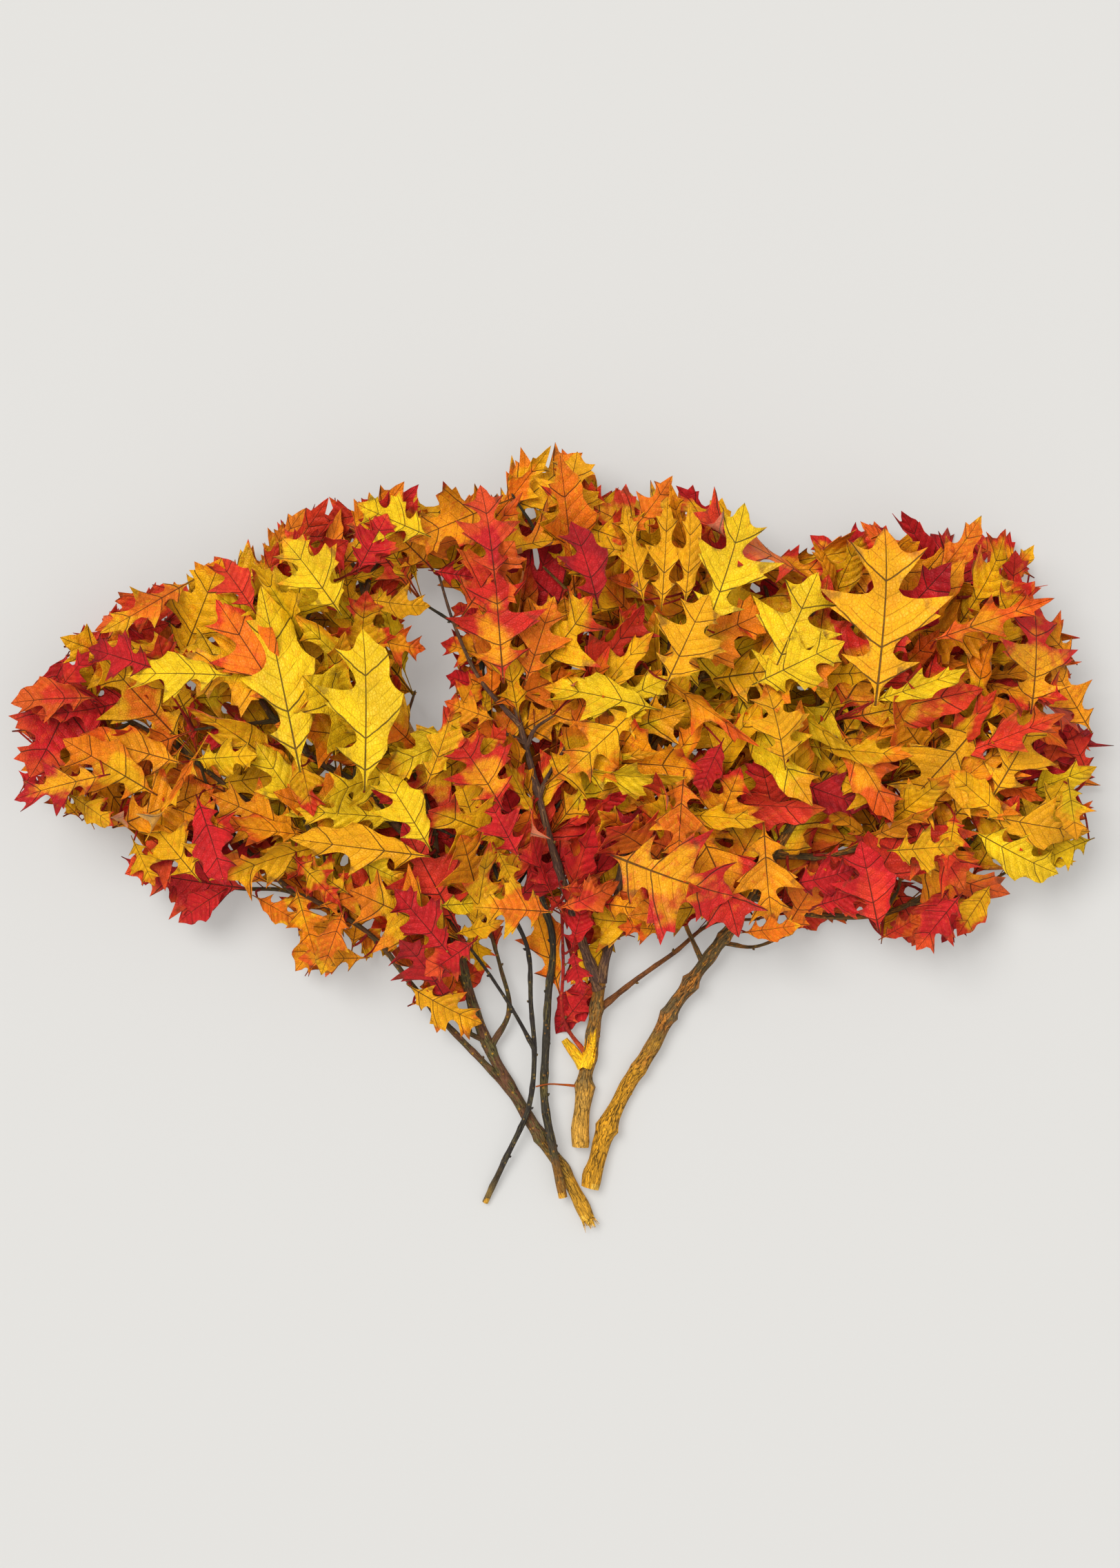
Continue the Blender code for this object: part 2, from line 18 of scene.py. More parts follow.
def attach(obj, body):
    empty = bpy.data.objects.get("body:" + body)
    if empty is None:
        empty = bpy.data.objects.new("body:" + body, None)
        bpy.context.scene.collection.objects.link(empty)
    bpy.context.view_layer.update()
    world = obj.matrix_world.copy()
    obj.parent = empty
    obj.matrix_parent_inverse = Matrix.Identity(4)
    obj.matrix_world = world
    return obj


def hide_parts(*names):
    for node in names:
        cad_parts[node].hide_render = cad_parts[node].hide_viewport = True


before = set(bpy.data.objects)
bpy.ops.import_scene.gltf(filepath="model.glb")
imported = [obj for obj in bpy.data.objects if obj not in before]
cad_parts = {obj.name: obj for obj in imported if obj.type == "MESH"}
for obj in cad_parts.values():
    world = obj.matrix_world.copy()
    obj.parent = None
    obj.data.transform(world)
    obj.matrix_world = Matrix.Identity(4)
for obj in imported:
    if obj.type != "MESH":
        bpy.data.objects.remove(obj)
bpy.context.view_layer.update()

MM = 0.001
print("frame nodes:", sorted(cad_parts))

# %% [markdown]
# The limbs grow along the same courses as the solids do, so these are the same points, in
# millimetres: a limb's parent, its radius at both ends, its number of side twigs, the share of
# it that is bare, and its course. Everything that is placed later hangs on these lines. Below them
# are the outline that the fan keeps to and the strip that stays open between two of its arms.

# %% The courses of the limbs
LIMBS = {
    "branch_left": {
        "stem": (None, 5.3, 1.7, 3, 0.62, [
            (29, -306, 0), (10, -268, 0), (-9, -240, 0), (-32, -202, 6), (-56, -156, 8),
            (-70, -110, 13), (-80, -70, 20), (-97, -20, 30), (-132, 20, 35), (-165, 52, 38),
            (-199, 72, 40), (-228, 105, 40), (-251, 134, 38), (-287, 152, 34), (-308, 176, 32)]),
        "upper": ("stem", 3.1, 1.4, 3, 0.3, [
            (-90, -38, 27), (-95, 8, 36), (-105, 45, 42), (-124, 90, 44), (-138, 130, 44),
            (-148, 168, 42), (-152, 205, 40), (-170, 242, 36)]),
        "fork": ("upper", 1.7, 1.1, 0, 0.2, [
            (-150, 190, 41), (-145, 216, 40), (-132, 236, 36), (-106, 254, 34)]),
        "west": ("stem", 2.8, 1.3, 4, 0.18, [
            (-108, -8, 31), (-160, -2, 32), (-202, 6, 32), (-241, 30, 32), (-290, 66, 31),
            (-330, 92, 28), (-374, 108, 22)]),
        "low": ("stem", 2.8, 1.3, 2, 0.5, [
            (-28, -209, 6), (-64, -170, 9), (-89, -144, 12), (-117, -111, 16), (-149, -72, 19),
            (-185, -52, 21), (-224, -38, 22), (-265, -38, 18), (-296, -28, 14)]),
        "west_low": ("low", 1.9, 1.1, 2, 0.2, [
            (-204, -45, 22), (-222, -30, 25), (-244, -8, 28), (-268, 18, 29), (-310, 38, 26),
            (-358, 52, 21), (-390, 60, 16)]),
        "inner": ("stem", 2.3, 1.2, 0, 0.55, [
            (-50, -168, 8), (-36, -154, 10), (-35, -128, 11), (-42, -100, 13), (-52, -66, 17)]),
        "spur": ("stem", 1.9, 1.2, 0, 0.3, [
            (-53, -162, 8), (-63, -158, 11), (-76, -146, 14)]),
        "north_west": ("stem", 2.2, 1.2, 2, 0.25, [
            (-196, 70, 40), (-208, 110, 45), (-214, 150, 44), (-222, 190, 40), (-226, 224, 34)]),
        "far_west": ("west", 1.8, 1.1, 1, 0.25, [
            (-286, 62, 31), (-316, 108, 33), (-345, 140, 29), (-372, 152, 24)]),
    },
    "branch_thin": {
        "stem": (None, 2.4, 1.3, 2, 0.74, [
            (-54, -293, 0), (-42, -266, 6), (-30, -243, 12.4), (-22, -226, 14.3), (-17, -208, 13.8),
            (-14, -190, 13), (-14, -172, 12), (-15, -156, 12), (-17, -135, 13), (-16, -114, 16),
            (-18, -93, 19), (-26, -68, 22), (-40, -40, 26), (-50, -5, 32), (-52, 34, 37)]),
        "side": ("stem", 1.6, 1.1, 0, 0.7, [
            (-14, -168, 12), (-22, -153, 16), (-31, -137, 20), (-42, -120, 23), (-55, -100, 26),
            (-70, -80, 29)]),
    },
    "branch_dark": {
        "stem": (None, 3.5, 1.5, 4, 0.46, [
            (9, -288, 11.2), (7, -268, 14.6), (2, -252, 14.6), (-3, -232, 13), (-6, -211, 10),
            (-6, -190, 8), (-5, -171, 8), (-4, -152, 9), (-2, -114, 12), (2, -88, 15),
            (-5, -60, 20), (-12, -31, 26), (-20, 0, 31), (-30, 38, 35), (-44, 80, 36),
            (-54, 122, 35), (-58, 165, 37), (-62, 208, 38), (-58, 244, 34)]),
        "crown": ("stem", 2.2, 1.2, 2, 0.2, [
            (-52, 116, 35), (-34, 150, 38), (-12, 188, 42), (4, 226, 42), (8, 262, 38)]),
    },
    "branch_middle": {
        "stem": (None, 6.3, 4.6, 0, 1.0, [
            (23, -248, 0), (24, -228, 0), (25, -207, 0), (27, -190, 6), (31, -169, 7),
            (34, -152, 9), (37, -135, 11), (39, -114, 14)]),
        "long": ("stem", 3.8, 2.0, 2, 0.5, [
            (38, -120, 13), (30, -98, 17), (21, -72, 23), (12, -43, 29), (4, -19, 36),
            (-4, 12, 42), (-12, 42, 46), (-19, 70, 49), (-26, 95, 50), (-32, 118, 49)]),
        "dead_twig": ("long", 1.9, 1.0, 0, 0.5, [
            (-25, 92, 50), (-34, 107, 51), (-47, 117, 51), (-60, 132, 51), (-70, 150, 51),
            (-77, 172, 50), (-77, 193, 49), (-90, 212, 48)]),
        "spur_high": ("long", 1.6, 1.1, 0, 0.2, [(-20, 74, 49), (-14, 88, 53), (1, 99, 56)]),
        "spur_low": ("long", 1.6, 1.1, 0, 0.2, [(-10, 34, 45), (-5, 48, 49), (3, 62, 52)]),
        "north": ("stem", 3.5, 1.4, 3, 0.3, [
            (39, -114, 14), (45, -88, 17), (50, -61, 22), (55, -28, 28), (60, 3, 33),
            (67, 32, 38), (75, 68, 42), (83, 108, 44), (92, 150, 44), (98, 195, 42),
            (96, 232, 36)]),
        "north_west": ("north", 2.2, 1.2, 2, 0.2, [
            (60, 3, 33), (42, 38, 40), (32, 80, 45), (32, 125, 47), (40, 170, 45), (48, 215, 40)]),
        "north_east": ("north", 2.2, 1.2, 2, 0.2, [
            (74, 64, 41), (96, 96, 46), (120, 132, 48), (136, 170, 46), (143, 204, 40)]),
        "under": ("stem", 2.4, 1.2, 1, 0.55, [
            (36, -138, 10), (56, -120, 9), (73, -110, 8), (90, -98, 7), (107, -84, 6),
            (125, -70, 5), (146, -60, 4), (166, -64, 4)]),
        "red_twig": ("stem", 1.7, 1.1, 0, 0.35, [
            (30, -176, 7), (19, -173, 10), (12, -162, 12), (9, -140, 13), (8, -112, 16),
            (11, -85, 19), (8, -58, 23)]),
    },
    "branch_right": {
        "stem": (None, 6.6, 1.5, 2, 0.5, [
            (31, -281, 0), (38, -253, 0), (47, -228, 0), (59, -202, 0), (72, -182, 7),
            (84, -161, 8), (93, -144, 9), (103, -127, 11), (114, -110, 13), (126, -95, 16),
            (138, -80, 19), (150, -60, 22), (163, -38, 27), (176, -14, 32), (190, 10, 37),
            (206, 38, 40), (226, 75, 43), (245, 120, 43), (258, 165, 40), (268, 205, 36),
            (270, 232, 31)]),
        "inner": ("stem", 3.1, 1.3, 2, 0.2, [
            (153, -56, 23), (157, -24, 31), (163, 12, 39), (170, 55, 44), (176, 100, 46),
            (178, 145, 44), (174, 188, 40), (166, 220, 34)]),
        "low": ("stem", 2.9, 1.3, 2, 0.22, [
            (160, -44, 25), (180, -53, 22), (202, -58, 20), (226, -61, 18), (248, -62, 16),
            (266, -60, 15), (285, -52, 15), (305, -40, 15), (322, -22, 16), (337, 0, 17),
            (356, 24, 17)]),
        "low_tip": ("low", 1.6, 1.1, 1, 0.2, [
            (288, -51, 15), (306, -55, 14), (326, -48, 12), (346, -34, 10), (370, -24, 8)]),
        "low_spur": ("low", 1.5, 1.1, 0, 0.3, [
            (266, -60, 15), (278, -38, 19), (280, -20, 22), (268, -6, 25)]),
        "east": ("stem", 2.8, 1.2, 3, 0.2, [
            (178, -11, 33), (205, -14, 34), (233, -9, 35), (262, 2, 35), (300, 24, 33),
            (340, 50, 29), (380, 70, 23), (402, 78, 18)]),
        "north_east": ("stem", 2.2, 1.2, 2, 0.2, [
            (228, 79, 43), (262, 104, 43), (295, 136, 40), (326, 170, 35), (348, 196, 30)]),
        "far_east": ("east", 2.0, 1.2, 2, 0.2, [
            (264, 3, 35), (292, 44, 37), (326, 84, 35), (360, 114, 30), (392, 136, 24)]),
        "north": ("stem", 2.1, 1.2, 2, 0.2, [
            (204, 34, 40), (210, 80, 46), (213, 130, 46), (215, 178, 41), (218, 214, 35)]),
        "knee": ("stem", 1.9, 1.2, 1, 0.2, [
            (122, -100, 15), (112, -76, 21), (101, -52, 27), (94, -22, 31)]),
        "heel": ("stem", 1.6, 1.1, 0, 0.3, [(136, -82, 18), (162, -86, 15), (186, -78, 12)]),
    },
}
FAN_EDGE = [
    (-436, 104), (-428, 84), (-424, 36), (-342, 0), (-340, -26), (-296, -64), (-244, -46),
    (-210, -82), (-196, -114), (-140, -96), (-104, -158), (-62, -156), (-34, -66), (0, -158),
    (34, -156), (62, -86), (130, -72), (184, -86), (214, -78), (236, -60), (292, -102),
    (338, -76), (416, -26), (440, 4), (437, 90), (430, 130), (409, 178), (390, 190),
    (387, 230), (346, 262), (312, 246), (268, 266), (206, 246), (185, 230), (162, 262),
    (100, 285), (44, 284), (27, 315), (-16, 314), (-38, 300), (-54, 284), (-136, 284),
    (-210, 264), (-262, 228), (-354, 190), (-410, 142),
]
OPEN_STRIP = [(-114, 196), (-110, 96), (-92, 86), (-80, 118), (-82, 198)]
print("limbs:", {node: len(limbs) for node, limbs in LIMBS.items()})

# %% [markdown]
# A limb is drawn as one smooth curve through its course. The solids sample that curve every
# 42 mm, and every leaf and side twig grows from that sampled line, so the same sampling comes
# first. The fine bark later runs on a smooth curve through those same samples.

# %% Grow the limbs and their side twigs
LIMB_STEP = 42.0
FINE_PARTS = 8
STEM_SIDES = 7
LIMB_SIDES = 5
TWIG_SIDES = 3
TWIG_LONG = (34.0, 72.0)
TWIG_THICK = (1.5, 1.0)
TWIG_RISE = (-8.0, 16.0)
TWIG_TURN = (0.6, 1.0)
TWIG_ARCH = 0.7
TWIG_BARE = 0.3
LAST_TWIG = 0.93


def smooth_points(points, parts_of):
    """Points along one smooth curve through the given ones, a number of parts to each stretch."""
    ends = [points[0] * 2 - points[1]] + points + [points[-1] * 2 - points[-2]]
    fine = []
    for a, b, c, d in zip(ends, ends[1:], ends[2:], ends[3:]):
        parts = parts_of(b, c)
        for k in range(parts):
            t = k / parts
            fine.append(0.5 * (2 * b + (c - a) * t + (2 * a - 5 * b + 4 * c - d) * t * t
                               + (3 * b - a - 3 * c + d) * t ** 3))
    return fine + [points[-1]]


def lengths_along(route):
    run = [0.0]
    for a, b in zip(route, route[1:]):
        run.append(run[-1] + (b - a).length)
    return run


def smooth_route(points, step):
    """Evenly spaced points along one smooth curve through the course."""
    fine = smooth_points(points, lambda b, c: FINE_PARTS)
    run = lengths_along(fine)
    parts = max(2, round(run[-1] / step))
    route = [points[0]]
    at = 0
    for k in range(1, parts):
        goal = run[-1] * k / parts
        while run[at + 1] < goal:
            at += 1
        route.append(fine[at].lerp(fine[at + 1], (goal - run[at]) / (run[at + 1] - run[at])))
    return route + [points[-1]]


def radii_along(route, first, last):
    run = lengths_along(route)
    return [first + (last - first) * s / run[-1] for s in run]


def lay_down(route, radii, sides):
    """Lift what would sink below the surface that the bunch lies on."""
    flat = math.cos(math.pi / sides)
    return [Vector((p.x, p.y, max(p.z, r * flat))) for p, r in zip(route, radii)]


def inside(x, y, outline):
    """True where a point seen from above lies within a closed outline."""
    within = False
    for (x1, y1), (x2, y2) in zip(outline, outline[1:] + outline[:1]):
        if (y1 > y) != (y2 > y) and x < (x2 - x1) * (y - y1) / (y2 - y1) + x1:
            within = not within
    return within


def grow_limbs(limbs):
    grown = {}
    for name, (parent, first, last, twigs, bare, course) in limbs.items():
        route = smooth_route([Vector(p) for p in course], LIMB_STEP)
        radii = radii_along(route, first, last)
        sides = STEM_SIDES if parent is None else LIMB_SIDES
        grown[name] = (lay_down(route, radii, sides), radii, bare)
        for k in range(twigs):
            draw = random.Random(f"{name}-twig-{k}")
            share = bare + (LAST_TWIG - bare) * (k + 0.5) / twigs
            knot = round(share * (len(route) - 1))
            at = grown[name][0][knot]
            ahead = grown[name][0][min(knot + 1, len(route) - 1)]
            behind = grown[name][0][knot - 1]
            heading = math.atan2(ahead.y - behind.y, ahead.x - behind.x)
            heading += (1 if k % 2 else -1) * draw.uniform(*TWIG_TURN)
            long = draw.uniform(*TWIG_LONG)
            rise = draw.uniform(*TWIG_RISE)
            way = Vector((math.cos(heading), math.sin(heading), 0))
            middle = at + way * long / 2 + Vector((0, 0, rise * TWIG_ARCH))
            end = at + way * long + Vector((0, 0, rise))
            if not inside(end.x, end.y, FAN_EDGE):
                continue
            twig = smooth_route([at, middle, end], LIMB_STEP)
            thick = radii_along(twig, *TWIG_THICK)
            grown[f"{name}_twig_{k}"] = (lay_down(twig, thick, TWIG_SIDES), thick, TWIG_BARE)
    return grown


branches = {node: grow_limbs(limbs) for node, limbs in LIMBS.items()}
print("limbs and twigs:", {node: len(limbs) for node, limbs in branches.items()})

# %% [markdown]
# The solids were moved so that the middle of the bunch is over the origin. The cut end of the
# left stem is the lowest corner of its node along Y in both, so the difference between the two
# corners is that move, and it carries every course point into the frame.

# %% Find how far the frame was moved
UP = Vector((0, 0, 1))
DOWN = Vector((0, 0, -1))


def sides_of(along):
    """The two directions at right angles to a limb: across it, and up from it."""
    across = along.cross(UP).normalized()
    return across, across.cross(along)


def stem_ring(centre, ahead, radius, sides):
    """The corners of the plain stem's first ring."""
    across, upward = sides_of((ahead - centre).normalized())
    ring = []
    for n in range(sides):
        angle = -math.pi / 2 + math.pi / sides + 2 * math.pi * n / sides
        ring.append(centre + radius * (math.cos(angle) * across + math.sin(angle) * upward))
    return ring


node_points = {}
for node in LIMBS:
    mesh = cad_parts[node].data
    flat = np.empty(len(mesh.vertices) * 3, dtype=np.float32)
    mesh.vertices.foreach_get("co", flat)
    node_points[node] = flat.reshape(-1, 3).astype(np.float64) / MM

route, radii, bare = branches["branch_left"]["stem"]
own_corner = min(stem_ring(route[0], route[1], radii[0], STEM_SIDES), key=lambda p: p.y)
cad_corner = node_points["branch_left"][node_points["branch_left"][:, 1].argmin()]
MOVE = Vector((cad_corner[0] - own_corner.x, cad_corner[1] - own_corner.y, 0.0))
print("the frame was moved by", [round(x, 3) for x in MOVE], "mm")

# %% [markdown]
# The photo looks straight down on the bunch. A long lens far above it gives the same view, with
# hardly any perspective. The large soft light stands at the upper left, so every leaf throws a
# short shadow down and to the right. The surface gives off a little light of its own, which keeps
# those shadows faint.

# %% Camera, surface and light
PHOTO_WIDE = 1624
PHOTO_HIGH = 2274
MM_A_PIXEL = 0.55
PHOTO_ORIGIN = (800, 1219)
LENS = 85.0
SENSOR = 36.0
PILE_MIDDLE = 0.04
SURFACE_WIDE = 9.0
SURFACE_HIGH = -0.0004
SURFACE_TINT = (0.36, 0.362, 0.36, 1)
SURFACE_GLOW = (0.549, 0.535, 0.513, 1)
GLOW_STRENGTH = 0.45
ROOM_TINT = (1.0, 0.98, 0.95, 1)
ROOM_STRENGTH = 0.67

view_wide = PHOTO_WIDE * MM_A_PIXEL * MM
view_high = PHOTO_HIGH * MM_A_PIXEL * MM
middle_x = ((PHOTO_WIDE / 2 - PHOTO_ORIGIN[0]) * MM_A_PIXEL + MOVE.x) * MM
middle_y = ((PHOTO_ORIGIN[1] - PHOTO_HIGH / 2) * MM_A_PIXEL + MOVE.y) * MM
camera_data = bpy.data.cameras.new("camera")
camera_data.lens = LENS
camera_data.sensor_width = SENSOR
camera = bpy.data.objects.new("camera", camera_data)
camera.location = (middle_x, middle_y, view_high * LENS / SENSOR + PILE_MIDDLE)
bpy.context.scene.collection.objects.link(camera)
bpy.context.scene.camera = camera

bpy.ops.object.select_all(action="DESELECT")
bpy.ops.mesh.primitive_plane_add(size=SURFACE_WIDE, location=(middle_x, middle_y, SURFACE_HIGH))
surface = bpy.context.object
surface.name = "surface"
paper = bpy.data.materials.new("pale_surface")
paper.use_nodes = True
paper_shader = paper.node_tree.nodes["Principled BSDF"]
paper_shader.inputs["Base Color"].default_value = SURFACE_TINT
paper_shader.inputs["Roughness"].default_value = 0.9
paper_shader.inputs["Emission Color"].default_value = SURFACE_GLOW
paper_shader.inputs["Emission Strength"].default_value = GLOW_STRENGTH
surface.data.materials.append(paper)


def soft_sun(name, towards, strength, soft, tint):
    """A distant light as wide as its angle, in radians, that shines towards a direction."""
    data = bpy.data.lights.new(name, "SUN")
    data.energy = strength
    data.angle = soft
    data.color = tint
    light = bpy.data.objects.new(name, data)
    light.rotation_euler = Vector(towards).to_track_quat("-Z", "Y").to_euler()
    bpy.context.scene.collection.objects.link(light)


soft_sun("window_light", towards=(0.75, -0.62, -1.6), strength=2.45, soft=0.6,
         tint=(1.0, 0.985, 0.955))
soft_sun("fill_light", towards=(-0.6, 0.4, -1.6), strength=0.45, soft=0.9, tint=(1.0, 0.98, 0.95))
world = bpy.data.worlds.new("room")
world.use_nodes = True
world.node_tree.nodes["Background"].inputs["Color"].default_value = ROOM_TINT
world.node_tree.nodes["Background"].inputs["Strength"].default_value = ROOM_STRENGTH
bpy.context.scene.world = world
bpy.context.scene.view_settings.view_transform = "Standard"
print("camera height", round(camera.location.z, 3), "m, view", round(view_wide, 3), "m wide")

# %% [markdown]
# Every leaf of the solids came from its own seeded draw. The same draws are made again here, and a
# try is the right one if its tip and its lobes' points, or four of these five, are corners of the
# node in the frame. So each fine leaf takes the place, heading and curl of a plain blade.

# %% Find the leaves that the frame holds
LEAF_LONG = (88.0, 136.0)
LEAF_BROAD = (0.74, 1.02)
TIP_SHARE = 0.7
TIP_SMALLER = 0.22
PETIOLE_LONG = (9.0, 22.0)
PETIOLE_SUNK = 1.5
LEAF_STEP = 108.0
TIP_LEAVES = 2
LEAF_TRIES = 36
TIP_TURN = 0.65
SIDE_TURN = 0.85
HEADING_SPREAD = 0.42
PITCH = (-0.42, 0.62)
ROLL_SPREAD = 0.42
ARCH = (-1.25, 0.7)
CUP = (-0.9, 1.1)
TWIST = (-0.5, 0.5)
HALF_BLADE = 0.4
LARGE_LEAF = 122.0
POINTS_LARGE = [(1.0, 0.0), (0.83, 0.20), (0.83, -0.20), (0.19, 0.21), (0.19, -0.21)]
POINTS_SMALL = [(1.0, 0.0), (0.84, 0.19), (0.84, -0.19), (0.22, 0.22), (0.22, -0.22)]
MATCH_WITHIN = 0.6
ENOUGH_POINTS = 4
FIRST_LEAF = 0.35


def draw_leaf(name, place, limb_heading, spread, share):
    """One leaf's size, heading and curl, drawn at random from its own name."""
    draw = random.Random(name)
    side = draw.choice((-1, 1)) if spread else 0
    return {
        "root": place,
        "long": draw.uniform(*LEAF_LONG) * (1.0 - TIP_SMALLER * share),
        "broad": draw.uniform(*LEAF_BROAD),
        "petiole": draw.uniform(*PETIOLE_LONG),
        "heading": limb_heading + side * spread + draw.gauss(0.0, HEADING_SPREAD),
        "pitch": draw.uniform(*PITCH),
        "roll": draw.gauss(0.0, ROLL_SPREAD),
        "arch": draw.uniform(*ARCH),
        "cup": draw.uniform(*CUP),
        "twist": draw.uniform(*TWIST),
        "name": name,
    }


def leaf_places(limbs, step, tip_leaves):
    """Where leaves grow: some at each limb's tip, and others a step apart along its leafy part."""
    places = []
    for name, (route, radii, bare) in limbs.items():
        if bare >= 1.0:
            continue
        run = lengths_along(route)[-1]
        count = max(0, round(run * (1.0 - bare) / step))
        heading = math.atan2(route[-1].y - route[-2].y, route[-1].x - route[-2].x)
        tip = route[-1] - (route[-1] - route[-2]).normalized() * PETIOLE_SUNK
        for k in range(tip_leaves):
            places.append((f"{name}-tip-{k}", tip, heading, TIP_TURN if k else 0.0, TIP_SHARE))
        for k in range(count):
            share = bare + (1.0 - bare) * (k + FIRST_LEAF) / count
            spot = share * (len(route) - 1)
            low = min(int(spot), len(route) - 2)
            place = route[low].lerp(route[low + 1], spot - low)
            heading = math.atan2(route[low + 1].y - route[low].y, route[low + 1].x - route[low].x)
            places.append((f"{name}-side-{k}", place, heading, SIDE_TURN, share))
    return places


def bend_points(leaf, along, across, lift=0.0):
    """Points of the flat leaf, in midrib lengths, carried onto the curled leaf, in millimetres."""
    long = leaf["long"]
    x = along * long
    y = across * long * leaf["broad"]
    bow = leaf["cup"] / (0.5 * long)
    y_bent = np.sin(bow * y) / bow
    rise = (1.0 - np.cos(bow * y)) / bow + lift
    curve = leaf["arch"] / long
    turn = curve * np.maximum(x, 0.0)
    x_bent = np.sin(turn) / curve + np.minimum(x, 0.0) - rise * np.sin(turn)
    z_bent = (1.0 - np.cos(turn)) / curve + rise * np.cos(turn)
    spin = leaf["twist"] * np.maximum(along, 0.0)
    flat = np.stack([x_bent + leaf["petiole"], y_bent * np.cos(spin) - z_bent * np.sin(spin),
                     y_bent * np.sin(spin) + z_bent * np.cos(spin)], axis=-1)
    turned = (Matrix.Rotation(leaf["heading"], 3, "Z") @ Matrix.Rotation(-leaf["pitch"], 3, "Y")
              @ Matrix.Rotation(leaf["roll"], 3, "X"))
    placed = flat @ np.array(turned).T + np.array(leaf["root"])
    placed[:, 2] = np.maximum(placed[:, 2], HALF_BLADE)
    return placed


leaves = {node: [] for node in LIMBS}
for node, limbs in branches.items():
    corners = kdtree.KDTree(len(node_points[node]))
    for k, point in enumerate(node_points[node]):
        corners.insert(point, k)
    corners.balance()
    for name, place, heading, spread, share in leaf_places(limbs, LEAF_STEP, TIP_LEAVES):
        for t in range(LEAF_TRIES):
            leaf = draw_leaf(f"{node}-{name}-{t}", place, heading, spread, share)
            ends = np.array(POINTS_LARGE if leaf["long"] > LARGE_LEAF else POINTS_SMALL)
            spots = bend_points(leaf, ends[:, 0], ends[:, 1])
            near = [corners.find(Vector(spot) + MOVE)[2] < MATCH_WITHIN for spot in spots]
            if sum(near) >= ENOUGH_POINTS:
                leaves[node].append(leaf)
                break
print("leaves found in the frame:", {node: len(found) for node, found in leaves.items()})

# %% [markdown]
# A real bunch holds many more leaves than the solids do, and more are laid among them. No two may
# touch. That is quick to test on a light stand-in of each blade: a few triangles between a rough
# outline and the midrib, kept in a search tree together with the box that they fill.

# %% Make a light blade to test with
TOUCH_GAP = 0.6
ROUGH_EDGE = [(0.0, 0.01), (0.2, 0.21), (0.27, 0.06), (0.48, 0.34), (0.6, 0.37), (0.61, 0.08),
              (0.84, 0.19), (0.93, 0.08)]
RIB_POINTS = 6
LOW_LEAF = {"root": Vector((34, -110, 6)), "long": 54.0, "broad": 1.05, "petiole": 3.0,
            "heading": -2.2, "pitch": 0.0, "roll": 0.15, "arch": -0.3, "cup": -0.9, "twist": 0.2,
            "name": "more-low", "form": "plain"}

Blade = namedtuple("Blade", "tree low high edge")
edge = ROUGH_EDGE + [(1.0, 0.0)] + [(u, -v) for u, v in reversed(ROUGH_EDGE)]
rough_points = np.array(edge + [(u, 0.0) for u in np.linspace(0.0, 1.0, RIB_POINTS)])


def rough_faces():
    """Triangles from the rough outline to the midrib, on both halves of the blade."""
    half = len(ROUGH_EDGE)
    last = RIB_POINTS - 1
    faces = []
    for ring in (list(range(half + 1)), [2 * half - k for k in range(half)] + [half]):
        for k in range(half):
            middle = (edge[ring[k]][0] + edge[ring[k + 1]][0]) / 2
            faces.append((ring[k], ring[k + 1], len(edge) + min(last, max(0, round(middle * last)))))
        for k in range(last):
            near = min(ring, key=lambda n: abs(edge[n][0] - (k + 0.5) / last) + abs(edge[n][1]))
            faces.append((len(edge) + k, len(edge) + k + 1, near))
    return faces


ROUGH_FACES = rough_faces()


def rough_blade(leaf):
    spots = [Vector(p) for p in bend_points(leaf, rough_points[:, 0], rough_points[:, 1])]
    low = [min(p[k] for p in spots) for k in range(3)]
    high = [max(p[k] for p in spots) for k in range(3)]
    tree = BVHTree.FromPolygons(spots, ROUGH_FACES, epsilon=TOUCH_GAP)
    return Blade(tree, low, high, spots[:len(edge)])


def boxes_meet(one, other):
    return all(one.low[k] <= other.high[k] and other.low[k] <= one.high[k] for k in range(3))


def clear_of_all(blade):
    return not any(boxes_meet(blade, other) and blade.tree.overlap(other.tree) for other in laid)


def lay(node, leaf, blade):
    """Give a leaf to its branch, and keep its stand-in for the tests that follow."""
    leaves[node].append(leaf)
    laid.append(blade)


laid = [rough_blade(leaf) for found in leaves.values() for leaf in found]
lay("branch_middle", LOW_LEAF, rough_blade(LOW_LEAF))
print("blades laid so far:", len(laid))

# %% [markdown]
# Some limbs show between the leaves, and no leaf from the gaps may hide them. So points along them
# are kept, and a leaf straight above one is turned down. So is a leaf that leaves the fan's outline,
# reaches into its open strip, or lies too high or too low.

# %% Keep some limbs in view
PILE_TOP = 110.0
LOWEST_BLADE = 0.6
LOOK_STEP = 6.0
HIDDEN_LIMBS = ("north_west", "crown", "north_east", "fork", "west_low", "knee", "heel", "far_east")
HIDDEN_ABOVE = {("branch_dark", "stem"): -40, ("branch_thin", "stem"): -60,
                ("branch_middle", "north"): 0, ("branch_right", "stem"): -30,
                ("branch_right", "inner"): -20, ("branch_right", "north"): -100,
                ("branch_right", "east"): 3}

in_view = []
for node, limbs in branches.items():
    for name, (route, radii, bare) in limbs.items():
        if "_twig_" in name or name in HIDDEN_LIMBS:
            continue
        for a, b in zip(route, route[1:]):
            parts = max(1, round((b - a).length / LOOK_STEP))
            spots = [a.lerp(b, k / parts) for k in range(parts)]
            in_view += [spot for spot in spots if spot.y < HIDDEN_ABOVE.get((node, name), spot.y + 1)]


